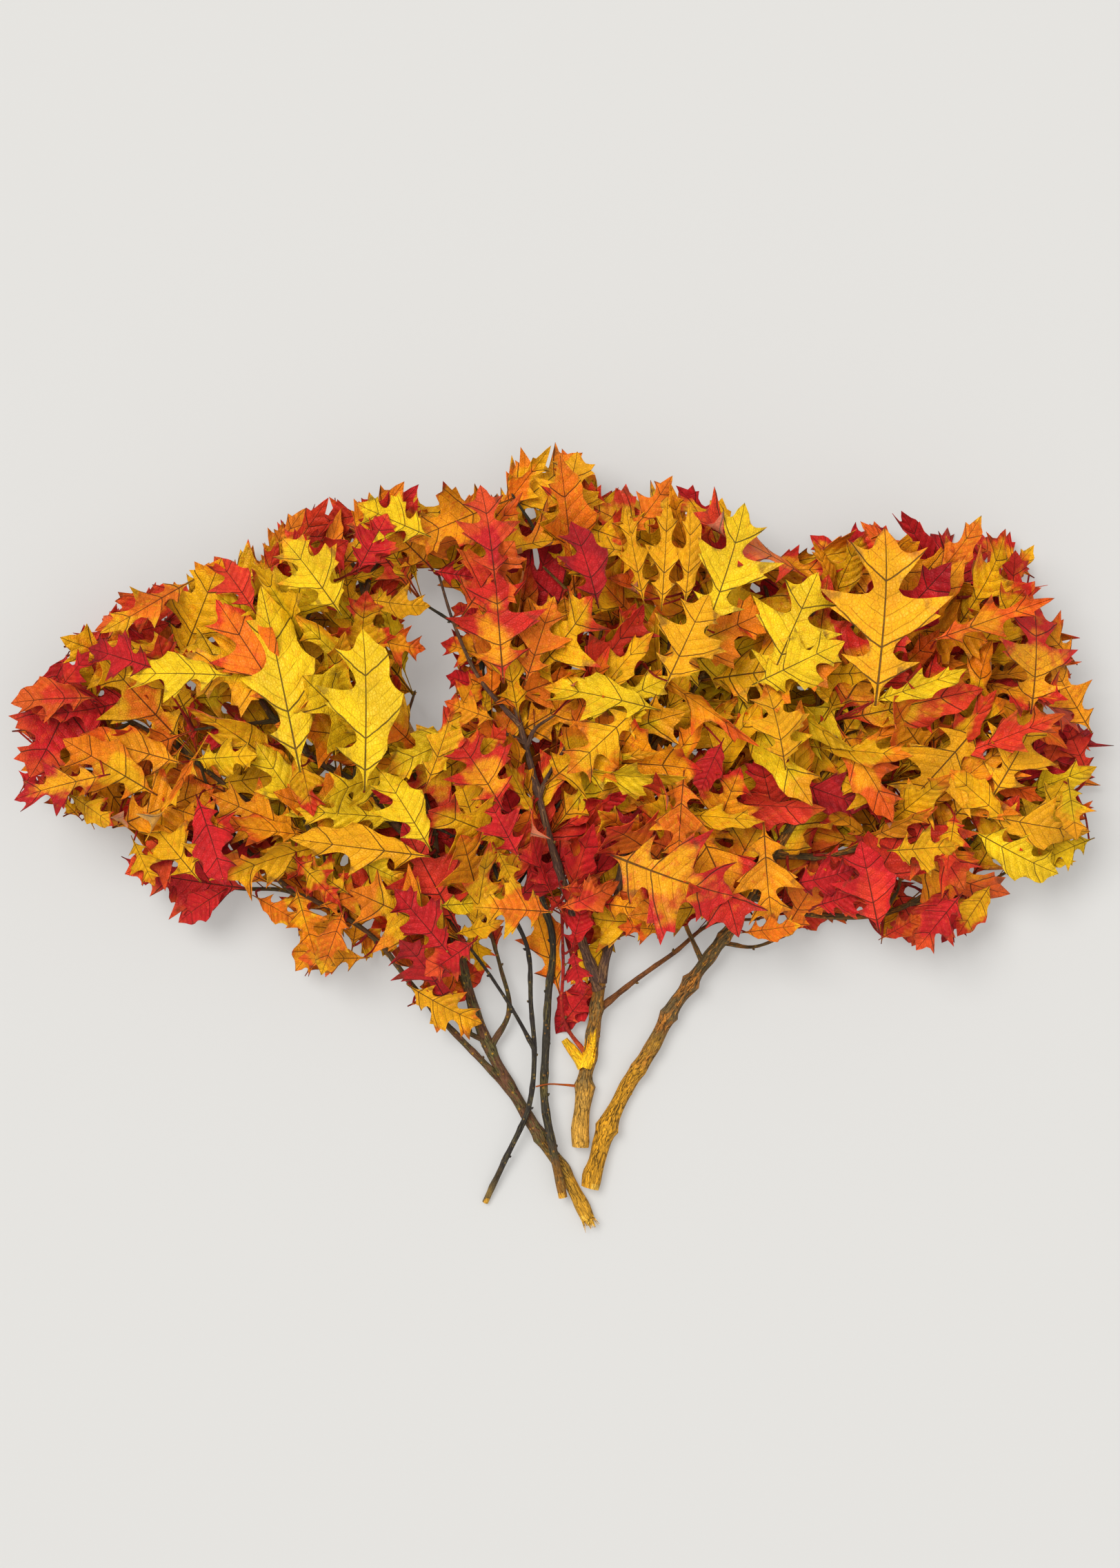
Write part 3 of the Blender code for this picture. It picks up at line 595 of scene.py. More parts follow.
def may_lie(blade):
    """True where a blade keeps to the fan, hides no limb in view and touches no leaf."""
    if blade.high[2] > PILE_TOP or blade.low[2] < LOWEST_BLADE:
        return False
    if any(not inside(p.x, p.y, FAN_EDGE) or inside(p.x, p.y, OPEN_STRIP) for p in blade.edge):
        return False
    if any(blade.tree.ray_cast(spot, UP)[0] for spot in in_view):
        return False
    return clear_of_all(blade)


print("points of limbs in view:", len(in_view))

# %% [markdown]
# Some leaves catch the eye because they lie flat on top of the pile. They are listed one by one: the
# branch, where the blade begins and ends, its width, cup, dye and form. Each sinks from the top in
# several tilts until it would touch a leaf below, and the lowest place is its own. So a later row
# lies on the earlier ones. A thin stalk joins each leaf to the nearest limb.

# %% Lay the leaves that catch the eye
SHOWN_LEAVES = [
    ("branch_dark", (-44, 204), (-52, 280), 0.85, -0.5, "crimson", "deep"),
    ("branch_dark", (2, 240), (24, 308), 1.0, -0.4, "honey", "broad"),
    ("branch_right", (350, 36), (390, 104), 1.05, -0.4, "honey", "deep"),
    ("branch_right", (378, 104), (388, 186), 1.2, -0.4, "ember", "deep"),
    ("branch_right", (338, 6), (402, -30), 0.85, 0.5, "lemon", "uneven"),
    ("branch_right", (168, 118), (206, 212), 0.9, -0.3, "lemon", "deep"),
    ("branch_right", (120, 165), (158, 262), 0.8, 0.5, "lemon", "deep"),
    ("branch_right", (160, 124), (228, 156), 0.85, -0.6, "lemon", "broad"),
    ("branch_middle", (90, 124), (122, 192), 1.0, 0.3, "honey", "broad"),
    ("branch_middle", (68, 106), (14, 52), 0.9, -0.3, "gold", "deep"),
    ("branch_right", (232, 122), (192, 68), 1.1, -0.5, "lemon", "deep"),
    ("branch_right", (186, 50), (252, 24), 0.75, -0.8, "crimson", "uneven"),
    ("branch_right", (168, 12), (172, -70), 0.85, 0.4, "amber", "deep"),
    ("branch_right", (192, -34), (242, -24), 0.9, 0.6, "crimson", "broad"),
    ("branch_right", (318, -38), (288, -84), 0.9, 0.3, "crimson", "uneven"),
    ("branch_right", (350, -36), (324, -76), 0.9, -0.4, "gold", "plain"),
    ("branch_right", (300, 158), (392, 190), 0.5, 0.7, "amber", "slim"),
    ("branch_right", (296, 200), (344, 256), 0.6, 0.9, "orange", "lance"),
    ("branch_right", (344, 196), (386, 232), 0.6, -0.8, "orange", "lance"),
    ("branch_middle", (134, 78), (114, 38), 0.9, 0.4, "crimson", "plain"),
    ("branch_middle", (104, 52), (97, -22), 0.8, -0.5, "orange", "deep"),
    ("branch_right", (170, 64), (120, 98), 1.0, 0.4, "amber", "broad"),
    ("branch_middle", (60, 240), (98, 284), 0.8, -0.9, "orange", "slim"),
    ("branch_middle", (92, 222), (30, 232), 0.8, 0.8, "honey", "slim"),
    ("branch_left", (-166, 180), (-208, 240), 0.9, 0.4, "lemon", "broad"),
    ("branch_left", (-254, 130), (-334, 134), 0.7, -0.5, "lemon", "uneven"),
    ("branch_left", (-206, 102), (-262, 190), 0.75, 0.5, "orange", "uneven"),
    ("branch_left", (-96, -4), (-132, 58), 0.85, -0.4, "lemon", "uneven"),
    ("branch_left", (-222, 76), (-278, 84), 0.9, 0.8, "crimson", "broad"),
    ("branch_left", (-294, 62), (-372, 84), 0.75, -0.5, "amber", "uneven"),
    ("branch_left", (-270, 42), (-346, 20), 0.75, 0.4, "amber", "uneven"),
    ("branch_left", (-350, 52), (-424, 36), 0.7, -0.6, "ember", "deep"),
    ("branch_left", (-364, 113), (-428, 112), 0.9, 0.7, "scarlet", "lance"),
    ("branch_left", (-246, -38), (-332, -28), 0.9, 0.8, "crimson", "broad"),
    ("branch_left", (-262, -40), (-300, -64), 1.0, -0.6, "crimson", "plain"),
    ("branch_left", (-166, -56), (-206, -104), 0.9, 0.4, "amber", "uneven"),
    ("branch_left", (-82, -88), (-124, -38), 0.85, -0.7, "crimson", "broad"),
    ("branch_left", (-90, -52), (-30, -48), 0.75, 0.4, "lemon", "lance"),
    ("branch_left", (-98, 45), (-70, 114), 0.7, -0.4, "gold", "lance"),
    ("branch_dark", (-40, 28), (-72, 84), 1.15, 0.4, "amber", "broad"),
    ("branch_dark", (-26, -12), (-52, 38), 0.9, -0.6, "crimson", "deep"),
    ("branch_dark", (-20, 126), (2, 192), 0.9, 0.5, "orange", "deep"),
    ("branch_left", (-98, 240), (-152, 264), 0.9, 0.4, "lemon", "broad"),
    ("branch_left", (-150, 214), (-128, 256), 1.1, 0.9, "crimson", "open"),
    ("branch_left", (-234, 182), (-262, 226), 1.0, -0.6, "scarlet", "uneven"),
    ("branch_left", (-312, 136), (-362, 152), 1.0, 0.6, "crimson", "broad"),
    ("branch_left", (-112, -118), (-58, -151), 0.85, 0.8, "honey", "broad"),
    ("branch_left", (-62, -80), (-100, -108), 1.1, -0.8, "crimson", "uneven"),
    ("branch_dark", (-48, 146), (-88, 158), 1.0, 0.4, "amber", "uneven"),
    ("branch_dark", (-50, 120), (-84, 132), 1.0, -0.5, "crimson", "uneven"),
    ("branch_dark", (-52, 176), (-80, 186), 1.1, 0.4, "crimson", "uneven"),
    ("branch_dark", (-46, 96), (-84, 110), 1.0, -0.5, "amber", "deep"),
    ("branch_left", (-142, 160), (-100, 150), 1.0, 0.4, "amber", "deep"),
    ("branch_left", (-142, 190), (-96, 182), 0.9, -0.6, "honey", "uneven"),
    ("branch_middle", (72, 188), (58, 262), 0.55, 1.0, "honey", "slim"),
    ("branch_middle", (86, 184), (92, 268), 0.6, -0.9, "honey", "slim"),
    ("branch_middle", (104, 186), (114, 262), 0.55, 1.1, "honey", "lance"),
    ("branch_middle", (114, 176), (126, 276), 0.6, -0.8, "orange", "slim"),
    ("branch_middle", (36, 186), (20, 252), 0.9, 0.7, "crimson", "uneven"),
    ("branch_right", (182, 60), (172, 124), 1.0, -0.4, "honey", "broad"),
    ("branch_right", (268, 26), (228, 52), 1.1, 0.4, "honey", "deep"),
    ("branch_right", (253, 110), (268, 246), 0.9, 0.3, "honey", "deep"),
    ("branch_left", (-197, 58), (-226, 200), 0.66, -0.4, "lemon", "lance"),
    ("branch_left", (-146, 44), (-142, 168), 0.76, 0.3, "lemon", "uneven"),
    ("branch_left", (-100, -12), (-206, 2), 0.62, -0.5, "honey", "lance"),
    ("branch_dark", (-38, 128), (-44, 212), 1.15, 0.4, "amber", "deep"),
    ("branch_right", (338, 92), (278, 20), 1.1, 0.4, "honey", "deep"),
    ("branch_right", (346, 20), (428, 3), 0.72, 0.4, "honey", "uneven"),
    ("branch_right", (252, 110), (325, 134), 0.5, 0.9, "lemon", "lance"),
    ("branch_middle", (82, 104), (-6, 126), 0.62, 0.5, "lemon", "uneven"),
    ("branch_middle", (50, -12), (142, -48), 1.2, 0.3, "ember", "broad"),
]
SHOWN_TURNS = ((0.0, -0.2, 0.0), (0.14, -0.5, 0.15), (-0.14, 0.4, -0.15), (0.25, -0.7, 0.0),
               (0.1, -0.4, -0.3), (0.1, -0.4, 0.3))
SHOWN_TOP = 116.0
SHOWN_PILE_TOP = 130.0
SHOWN_LONGER = 1.02
SHOWN_TWIST = 0.15
SHOWN_STEP = 4.0
ABOVE_LIMB = 3.0
SHORT_PETIOLE = 4.0
STALK_THICK = (1.0, 0.7)
STALK_RISE = 2.0
STALK_IN_LEAF = 5.0
LIMB_PARTS = 4

limb_points = {node: [a.lerp(b, k / LIMB_PARTS) for route, radii, bare in limbs.values()
                      if bare < 1.0 for a, b in zip(route, route[1:]) for k in range(LIMB_PARTS + 1)]
               for node, limbs in branches.items()}
stalks = {node: [] for node in LIMBS}


def nearest_on_limbs(node, spot):
    return min(limb_points[node], key=lambda p: (p - spot).length)


def add_stalk(node, leaf):
    """A thin course from the nearest limb up to the leaf's base."""
    base = leaf["root"]
    joint = nearest_on_limbs(node, base)
    way = Vector((math.cos(leaf["heading"]), math.sin(leaf["heading"]), 0.0))
    stalks[node].append([joint, joint.lerp(base, 0.5) + UP * STALK_RISE, base + way * STALK_IN_LEAF])


def shown_leaf(number, height, turn):
    """The leaf of one row, with its base at a height and one of the tilts."""
    node, begin, end, broad, cup, dye, form = SHOWN_LEAVES[number]
    lies = Vector((end[0] - begin[0], end[1] - begin[1]))
    way = lies.normalized()
    pitch, arch, roll = turn
    root = Vector((begin[0] - SHORT_PETIOLE * way.x, begin[1] - SHORT_PETIOLE * way.y, height))
    return {"root": root, "long": lies.length * SHOWN_LONGER, "broad": broad,
            "petiole": SHORT_PETIOLE, "heading": math.atan2(way.y, way.x), "pitch": pitch,
            "roll": roll, "arch": arch, "cup": cup, "twist": SHOWN_TWIST,
            "name": f"more-shown-{number}", "dye": dye, "form": form + "_fine"}


def settle(number):
    """Sink a row's leaf in each tilt, and give the lowest one that is clear, with its stand-in."""
    node, begin = SHOWN_LEAVES[number][:2]
    low = nearest_on_limbs(node, Vector((*begin, SHOWN_TOP / 2))).z + ABOVE_LIMB
    best = None
    for turn in SHOWN_TURNS:
        height = SHOWN_TOP
        while height > low:
            leaf = shown_leaf(number, height, turn)
            blade = rough_blade(leaf)
            if blade.high[2] < SHOWN_PILE_TOP:
                if not clear_of_all(blade):
                    break
                if best is None or height < best[0]["root"].z:
                    best = (leaf, blade)
            height -= SHOWN_STEP
    return best


shown = 0
for number, row in enumerate(SHOWN_LEAVES):
    best = settle(number)
    if best is None:
        print("no room for shown leaf", number, "on", *row[:2])
        continue
    lay(row[0], *best)
    add_stalk(row[0], best[0])
    shown += 1
print("leaves shown on top:", shown, "of", len(SHOWN_LEAVES))

# %% [markdown]
# The rest grow from the limbs by the same kind of seeded draw as the leaves of the solids, but
# closer together and flatter. At each place the tries get smaller until one fits.

# %% Fill the gaps
MORE_STEP = 19.0
MORE_TIP_LEAVES = 4
MORE_TRIES = 40
MORE_LONG = (92.0, 136.0)
MORE_BROAD = (0.62, 1.0)
MORE_PITCH = (-0.3, 0.55)
MORE_ARCH = (-1.1, 0.6)
MORE_CUP = (-1.5, 1.9)
MORE_ROLL = 0.4
MORE_TURN = 0.65
LAST_TRY_SHORTER = 0.3
LAST_TRY_NARROWER = 0.45


def leaf_for_gap(node, name, place, heading, spread, share, t):
    leaf = draw_leaf(f"more-{node}-{name}-{t}", place, heading, spread, share)
    draw = random.Random(f"shape-{node}-{name}-{t}")
    leaf.update({
        "long": draw.uniform(*MORE_LONG) * (1.0 - LAST_TRY_SHORTER * t / MORE_TRIES),
        "broad": draw.uniform(*MORE_BROAD) * (1.0 - LAST_TRY_NARROWER * t / MORE_TRIES),
        "pitch": draw.uniform(*MORE_PITCH),
        "arch": draw.uniform(*MORE_ARCH),
        "cup": draw.uniform(*MORE_CUP),
        "roll": draw.gauss(0.0, MORE_ROLL),
        "heading": heading + draw.gauss(0.0, MORE_TURN if spread else MORE_TURN / 2),
    })
    return leaf


added = {node: 0 for node in LIMBS}
for node, limbs in branches.items():
    for place in leaf_places(limbs, MORE_STEP, MORE_TIP_LEAVES):
        for t in range(MORE_TRIES):
            leaf = leaf_for_gap(node, *place, t)
            blade = rough_blade(leaf)
            if may_lie(blade):
                lay(node, leaf, blade)
                added[node] += 1
                break
print("leaves added:", added)

# %% [markdown]
# Seen from above, the surface below would still shine through in places. A grid of points finds
# these holes, and in each a leaf is tried low in the pile, turned at random, where it touches none.

# %% Close the holes
HOLE_STEP = 8.0
HOLE_TRIES = 30
HOLE_LONG = (58.0, 105.0)
HOLE_SHORTER = 0.4
HOLE_BROAD = (0.75, 1.1)
HOLE_HEIGHT = (9.0, 66.0)
HOLE_PITCH = (-0.2, 0.3)
HOLE_ROLL = 0.2
HOLE_ARCH = (-0.6, 0.3)
HOLE_CUP = (-1.0, 1.0)
HOLE_TWIST = 0.1
HOLE_REACH = 60.0


def seen_through(x, y):
    """True where a look straight down meets no blade."""
    start = Vector((x, y, 2 * PILE_TOP))
    return not any(blade.low[0] < x < blade.high[0] and blade.low[1] < y < blade.high[1]
                   and blade.tree.ray_cast(start, DOWN)[0] for blade in laid)


def leaf_in_hole(x, y, t):
    draw = random.Random(f"hole-{x:.0f}-{y:.0f}-{t}")
    long = draw.uniform(*HOLE_LONG) * (1.0 - HOLE_SHORTER * t / HOLE_TRIES)
    heading = draw.uniform(0, 2 * math.pi)
    root = Vector((x - math.cos(heading) * long / 2, y - math.sin(heading) * long / 2,
                   draw.uniform(*HOLE_HEIGHT)))
    return {"root": root, "long": long, "broad": draw.uniform(*HOLE_BROAD),
            "petiole": SHORT_PETIOLE, "heading": heading, "pitch": draw.uniform(*HOLE_PITCH),
            "roll": draw.gauss(0.0, HOLE_ROLL), "arch": draw.uniform(*HOLE_ARCH),
            "cup": draw.uniform(*HOLE_CUP), "twist": HOLE_TWIST,
            "name": f"more-hole-{x:.0f}-{y:.0f}-{t}"}


def gap_to_limb(node, spot):
    return (nearest_on_limbs(node, spot) - spot).length


def close_hole(x, y):
    """Lay one leaf below a place where the surface shows. False where none has room."""
    for t in range(HOLE_TRIES):
        leaf = leaf_in_hole(x, y, t)
        node = min(LIMBS, key=lambda n: gap_to_limb(n, leaf["root"]))
        if gap_to_limb(node, leaf["root"]) > HOLE_REACH:
            continue
        blade = rough_blade(leaf)
        if may_lie(blade):
            lay(node, leaf, blade)
            add_stalk(node, leaf)
            return True
    return False


edge_x = [p[0] for p in FAN_EDGE]
edge_y = [p[1] for p in FAN_EDGE]
holes = closed = 0
for x in np.arange(min(edge_x), max(edge_x), HOLE_STEP):
    for y in np.arange(min(edge_y), max(edge_y), HOLE_STEP):
        if inside(x, y, FAN_EDGE) and not inside(x, y, OPEN_STRIP) and seen_through(x, y):
            holes += 1
            closed += close_hole(x, y)
print("holes:", holes, "closed by a leaf:", closed)

# %% [markdown]
# An oak leaf of this kind has three pairs of lobes with deep round bays, and each lobe ends in a
# few bristle teeth. Its flat shape is made once: a circle with as many corners as the outline has,
# each corner moved to its place, filled, and then cut by bisect into strips that can bend. A form
# joins two halves, which may differ. The leaves on top take a smoother copy of each form.

# %% Shape the flat leaf
HALVES = {
    "deep": [(0.0, 0.012), (0.07, 0.024), (0.13, 0.075), (0.18, 0.15), (0.245, 0.25), (0.238, 0.17),
             (0.247, 0.11), (0.28, 0.072), (0.33, 0.085), (0.39, 0.15), (0.445, 0.25),
             (0.50, 0.345), (0.512, 0.30), (0.61, 0.415), (0.597, 0.29), (0.588, 0.19),
             (0.60, 0.11), (0.635, 0.078), (0.69, 0.10), (0.76, 0.16), (0.865, 0.245),
             (0.84, 0.15), (0.862, 0.092), (0.925, 0.062)],
    "broad": [(0.0, 0.012), (0.05, 0.03), (0.11, 0.10), (0.155, 0.19), (0.185, 0.185),
              (0.245, 0.265), (0.25, 0.18), (0.28, 0.12), (0.33, 0.125), (0.375, 0.20),
              (0.41, 0.33), (0.455, 0.31), (0.545, 0.43), (0.56, 0.33), (0.625, 0.325),
              (0.60, 0.21), (0.615, 0.135), (0.66, 0.115), (0.73, 0.15), (0.785, 0.23),
              (0.81, 0.18), (0.885, 0.21), (0.88, 0.11), (0.945, 0.055)],
    "plain": [(0.0, 0.012), (0.06, 0.03), (0.14, 0.10), (0.23, 0.175), (0.29, 0.175), (0.36, 0.20),
              (0.45, 0.265), (0.56, 0.30), (0.60, 0.235), (0.67, 0.19), (0.76, 0.195),
              (0.84, 0.165), (0.885, 0.10), (0.94, 0.05)],
    "slim": [(0.0, 0.012), (0.06, 0.028), (0.13, 0.09), (0.205, 0.19), (0.215, 0.12), (0.25, 0.075),
             (0.31, 0.085), (0.39, 0.16), (0.47, 0.26), (0.545, 0.345), (0.535, 0.24),
             (0.545, 0.15), (0.585, 0.09), (0.65, 0.085), (0.73, 0.125), (0.815, 0.185),
             (0.815, 0.10), (0.89, 0.065), (0.95, 0.035)],
}
LEAF_FORMS = {"deep": ("deep", "deep"), "plain": ("plain", "plain"), "broad": ("broad", "deep"),
              "open": ("broad", "broad"), "uneven": ("plain", "deep"), "slim": ("slim", "slim"),
              "lance": ("plain", "slim")}
STALK_PART = 0.15
STALK_HALF = 0.009
TOOTH_TURN = 1.05
CUTS_ALONG = (-0.07, 0.0, 0.15, 0.3, 0.45, 0.6, 0.75, 0.88)
CUTS_ACROSS = (-0.22, -0.1, 0.0, 0.1, 0.22)


def smooth_half(half):
    """Half an outline with a point more in each stretch, rounded except at its teeth."""
    points = [Vector(p) for p in half]
    teeth = {0, len(points) - 1}
    for k in range(1, len(points) - 1):
        if (points[k] - points[k - 1]).angle(points[k + 1] - points[k]) > TOOTH_TURN:
            teeth.add(k)
    rounded = []
    for k, (p, q) in enumerate(zip(points, points[1:])):
        leaving = arriving = q - p
        if k not in teeth:
            leaving = (q - points[k - 1]).normalized() * (q - p).length
        if k + 1 not in teeth:
            arriving = (points[k + 2] - p).normalized() * (q - p).length
        middle = (p + q) / 2 + (leaving - arriving) / 8
        rounded += [tuple(p), tuple(middle)]
    return rounded + [half[-1]]


def flat_leaf(name, right, left):
    """One flat leaf, a midrib length long, from its stalk's end at the origin along X."""
    stalk = [(-STALK_PART, STALK_HALF)]
    outline = stalk + right + [(1.0, 0.0)] + [(u, -v) for u, v in reversed(stalk + left)]
    bpy.ops.object.select_all(action="DESELECT")
    bpy.ops.mesh.primitive_circle_add(vertices=len(outline), radius=1.0, fill_type="NOTHING")
    leaf = bpy.context.object
    leaf.name = name
    for vertex, (u, v) in zip(leaf.data.vertices, outline):
        vertex.co = (u, -v, 0.0)
    bpy.ops.object.mode_set(mode="EDIT")
    bpy.ops.mesh.select_all(action="SELECT")
    bpy.ops.mesh.edge_face_add()
    for place in CUTS_ALONG:
        bpy.ops.mesh.select_all(action="SELECT")
        bpy.ops.mesh.bisect(plane_co=(place, 0, 0), plane_no=(1, 0, 0))
    for place in CUTS_ACROSS:
        bpy.ops.mesh.select_all(action="SELECT")
        bpy.ops.mesh.bisect(plane_co=(0, place, 0), plane_no=(0, 1, 0))
    bpy.ops.mesh.select_all(action="SELECT")
    bpy.ops.mesh.quads_convert_to_tris()
    bpy.ops.mesh.normals_make_consistent(inside=False)
    bpy.ops.object.mode_set(mode="OBJECT")
    if leaf.data.polygons[0].normal.z < 0:
        leaf.data.flip_normals()
    return leaf


shapes = {}
outlines = {name: (HALVES[right], HALVES[left]) for name, (right, left) in LEAF_FORMS.items()}
outlines.update({name + "_fine": (smooth_half(right), smooth_half(left))
                 for name, (right, left) in outlines.items()})
for name, (right, left) in outlines.items():
    shape = flat_leaf(f"flat_leaf_{name}", right, left)
    points = np.array([vertex.co[:2] for vertex in shape.data.vertices])
    triangles = np.array([list(face.vertices) for face in shape.data.polygons])
    uses = {}
    for face in shape.data.polygons:
        for edge_key in face.edge_keys:
            uses[edge_key] = uses.get(edge_key, 0) + 1
    rim = np.zeros(len(points))
    for edge_key, count in uses.items():
        if count == 1:
            rim[list(edge_key)] = 1.0
    shapes[name] = (points, triangles, rim)
    bpy.data.objects.remove(shape)
    print("flat leaf", name, "has", len(triangles), "faces")

# %% [markdown]
# A material is a small network of nodes. These helpers add one node, or one step of arithmetic, and
# give back its output, so that a pattern reads like a recipe from top to bottom.

# %% Helpers for node networks
def put(tree, kind, inputs=None, **settings):
    """Add a node, set its properties, and fill its sockets with values or other outputs."""
    node = tree.nodes.new(kind)
    for name, value in settings.items():
        setattr(node, name, value)
    for name, value in (inputs or {}).items():
        if isinstance(value, bpy.types.NodeSocket):
            tree.links.new(value, node.inputs[name])
        else:
            node.inputs[name].default_value = value
    return node


def maths(tree, operation, *values):
    """One step of arithmetic on numbers or outputs."""
    return put(tree, "ShaderNodeMath", dict(enumerate(values)), operation=operation).outputs[0]


def fade(tree, value, start, end, low=1.0, high=0.0):
    """A soft step: low where the value is under start, high where it is over end."""
    return put(tree, "ShaderNodeMapRange", {"Value": value, "From Min": start, "From Max": end,
                                            "To Min": low, "To Max": high},
               interpolation_type="SMOOTHSTEP").outputs["Result"]


def blend(tree, factor, one, other, kind="MIX"):
    """Mix two colours by a factor."""
    mix = put(tree, "ShaderNodeMix", data_type="RGBA", blend_type=kind)
    for socket, value in ((mix.inputs[0], factor), (mix.inputs[6], one), (mix.inputs[7], other)):
        if isinstance(value, bpy.types.NodeSocket):
            tree.links.new(value, socket)
        else:
            socket.default_value = value
    return mix.outputs[2]


def cloud(tree, place, scale, detail=2.0, rough=0.5):
    """Soft random values, 0 to 1."""
    return put(tree, "ShaderNodeTexNoise", {"Vector": place, "Scale": scale, "Detail": detail,
                                            "Roughness": rough}).outputs["Fac"]


def cells(tree, place, scale, feature="DISTANCE_TO_EDGE"):
    """The distance to the edge of the nearest of many cells, or to its middle."""
    return put(tree, "ShaderNodeTexVoronoi", {"Vector": place, "Scale": scale},
               feature=feature).outputs["Distance"]


def vectors(tree, operation, one, other):
    return put(tree, "ShaderNodeVectorMath", {0: one, 1: other}, operation=operation).outputs[0]


def darken(tree, colour, shade):
    """A colour times a grey shade."""
    grey = put(tree, "ShaderNodeCombineColor", {0: shade, 1: shade, 2: shade}).outputs[0]
    return blend(tree, 1.0, colour, grey, "MULTIPLY")


def new_group(name, inputs, outputs):
    """An empty node group with its named sockets, as (name, kind, value) and (name, kind)."""
    group = bpy.data.node_groups.new(name, "ShaderNodeTree")
    for label, kind, value in inputs:
        socket = group.interface.new_socket(name=label, in_out="INPUT", socket_type=kind)
        socket.default_value = value
    for label, kind in outputs:
        group.interface.new_socket(name=label, in_out="OUTPUT", socket_type=kind)
    return group


# %% [markdown]
# One group draws all that shows on a leaf, for both of its faces. It reads the leaf's own map, with
# the midrib along X, and three attributes: the tints of the middle and the tips, and the traits,
# which are how far the middle's tint reaches, a seed and the nearness of the rim.

# %% Start the pattern of a leaf
pattern = new_group("leaf_pattern", [], [("Colour", "NodeSocketColor"), ("Height", "NodeSocketFloat")])
own_map = put(pattern, "ShaderNodeUVMap", uv_map="leaf_map").outputs["UV"]
split = put(pattern, "ShaderNodeSeparateXYZ", {"Vector": own_map})
base_tint = put(pattern, "ShaderNodeAttribute", attribute_name="base_tint").outputs["Color"]
tip_tint = put(pattern, "ShaderNodeAttribute", attribute_name="tip_tint").outputs["Color"]
traits = put(pattern, "ShaderNodeAttribute", attribute_name="traits").outputs["Color"]
trait = put(pattern, "ShaderNodeSeparateColor", {"Color": traits})
reach, seed, rim = trait.outputs[0], trait.outputs[1], trait.outputs[2]
u = split.outputs["X"]
v = maths(pattern, "SUBTRACT", split.outputs["Y"], 0.5)
away = maths(pattern, "ABSOLUTE", v)
leaf_depth = maths(pattern, "MULTIPLY", seed, 37.0)
place = put(pattern, "ShaderNodeCombineXYZ", {"X": u, "Y": v, "Z": leaf_depth}).outputs[0]
shifted = vectors(pattern, "ADD", place, (3.7, 1.9, 5.3))
print("leaf pattern has", len(pattern.nodes), "nodes so far")

# %% [markdown]
# On a real leaf a dark midrib runs to the tip and gets thinner on its way. A strong side vein slants
# off into each pair of lobes, finer ones lie between them like the teeth of a comb, and a net of
# small cells fills the rest. Each is a distance to a line, made a soft band.

# %% Draw the veins
VEINS_TO_LOBES = (0.10, 0.30, 0.68)
COMB_GAP = 0.0525

wander = maths(pattern, "SUBTRACT", cloud(pattern, place, 7.0), 0.5)
slope = maths(pattern, "MULTIPLY_ADD", away, 0.4, maths(pattern, "MULTIPLY_ADD", u, 0.25, 0.42))
start = maths(pattern, "SUBTRACT", u, maths(pattern, "MULTIPLY", slope, away))
start = maths(pattern, "ADD", start, maths(pattern, "MULTIPLY", wander, 0.035))
thin = maths(pattern, "MULTIPLY_ADD", u, -0.0048, 0.0068)
veins = fade(pattern, maths(pattern, "DIVIDE", away, thin), 0.55, 1.5)
for at in VEINS_TO_LOBES:
    gap = maths(pattern, "ABSOLUTE", maths(pattern, "SUBTRACT", start, at))
    line = maths(pattern, "MULTIPLY", fade(pattern, gap, 0.002, 0.0072),
                 fade(pattern, away, 0.2, 0.42, 1.0, 0.35))
    veins = maths(pattern, "MAXIMUM", veins, line)
comb = maths(pattern, "PINGPONG", maths(pattern, "ADD", start, 1.0), COMB_GAP)
small = maths(pattern, "MULTIPLY", fade(pattern, comb, 0.0008, 0.0045),
              fade(pattern, cloud(pattern, place, 5.0), 0.4, 0.6, 0.1, 0.4))
veins = maths(pattern, "MAXIMUM", veins, small)
crossing = fade(pattern, cells(pattern, place, 13.0), 0.006, 0.04)
veins = maths(pattern, "MAXIMUM", veins, maths(pattern, "MULTIPLY", crossing, 0.15))
net = fade(pattern, cells(pattern, place, 46.0), 0.0, 0.14)
print("leaf pattern has", len(pattern.nodes), "nodes so far")

# %% [markdown]
# The dye pools in the middle of the leaf and breaks off in soft-edged patches. Red blotches and
# specks, brown freckles and a rim that is burnt in places lie over it, and the veins over them all.

# %% Dye the pattern
VEIN_DEEP = (0.15, 0.12, 0.13, 1)
VEIN_BROWN = (0.045, 0.028, 0.012, 1)
NET_BROWN = (0.16, 0.06, 0.012, 1)
FRECKLE_BROWN = (0.12, 0.045, 0.012, 1)
RIM_BROWN = (0.10, 0.035, 0.012, 1)
WARM = (1.0, 0.86, 0.55, 1)

along = maths(pattern, "MULTIPLY", maths(pattern, "SUBTRACT", u, 0.36), 0.95)
across = maths(pattern, "ABSOLUTE", maths(pattern, "MULTIPLY", v, 1.25))
from_middle = maths(pattern, "SQRT", maths(pattern, "ADD", maths(pattern, "POWER", along, 2.0),
                                           maths(pattern, "POWER", across, 2.0)))
patch = maths(pattern, "MULTIPLY", maths(pattern, "SUBTRACT", cloud(pattern, place, 4.2, 3.0), 0.5), 0.8)
dyed = maths(pattern, "SUBTRACT", maths(pattern, "ADD", from_middle, patch), reach)
dyed = maths(pattern, "MULTIPLY_ADD", rim, 0.05, dyed)
colour = blend(pattern, fade(pattern, dyed, -0.1, 0.09, 0.0, 1.0), base_tint, tip_tint)
pale = fade(pattern, cloud(pattern, shifted, 6.5, 3.0), 0.56, 0.72, 0.0, 0.5)
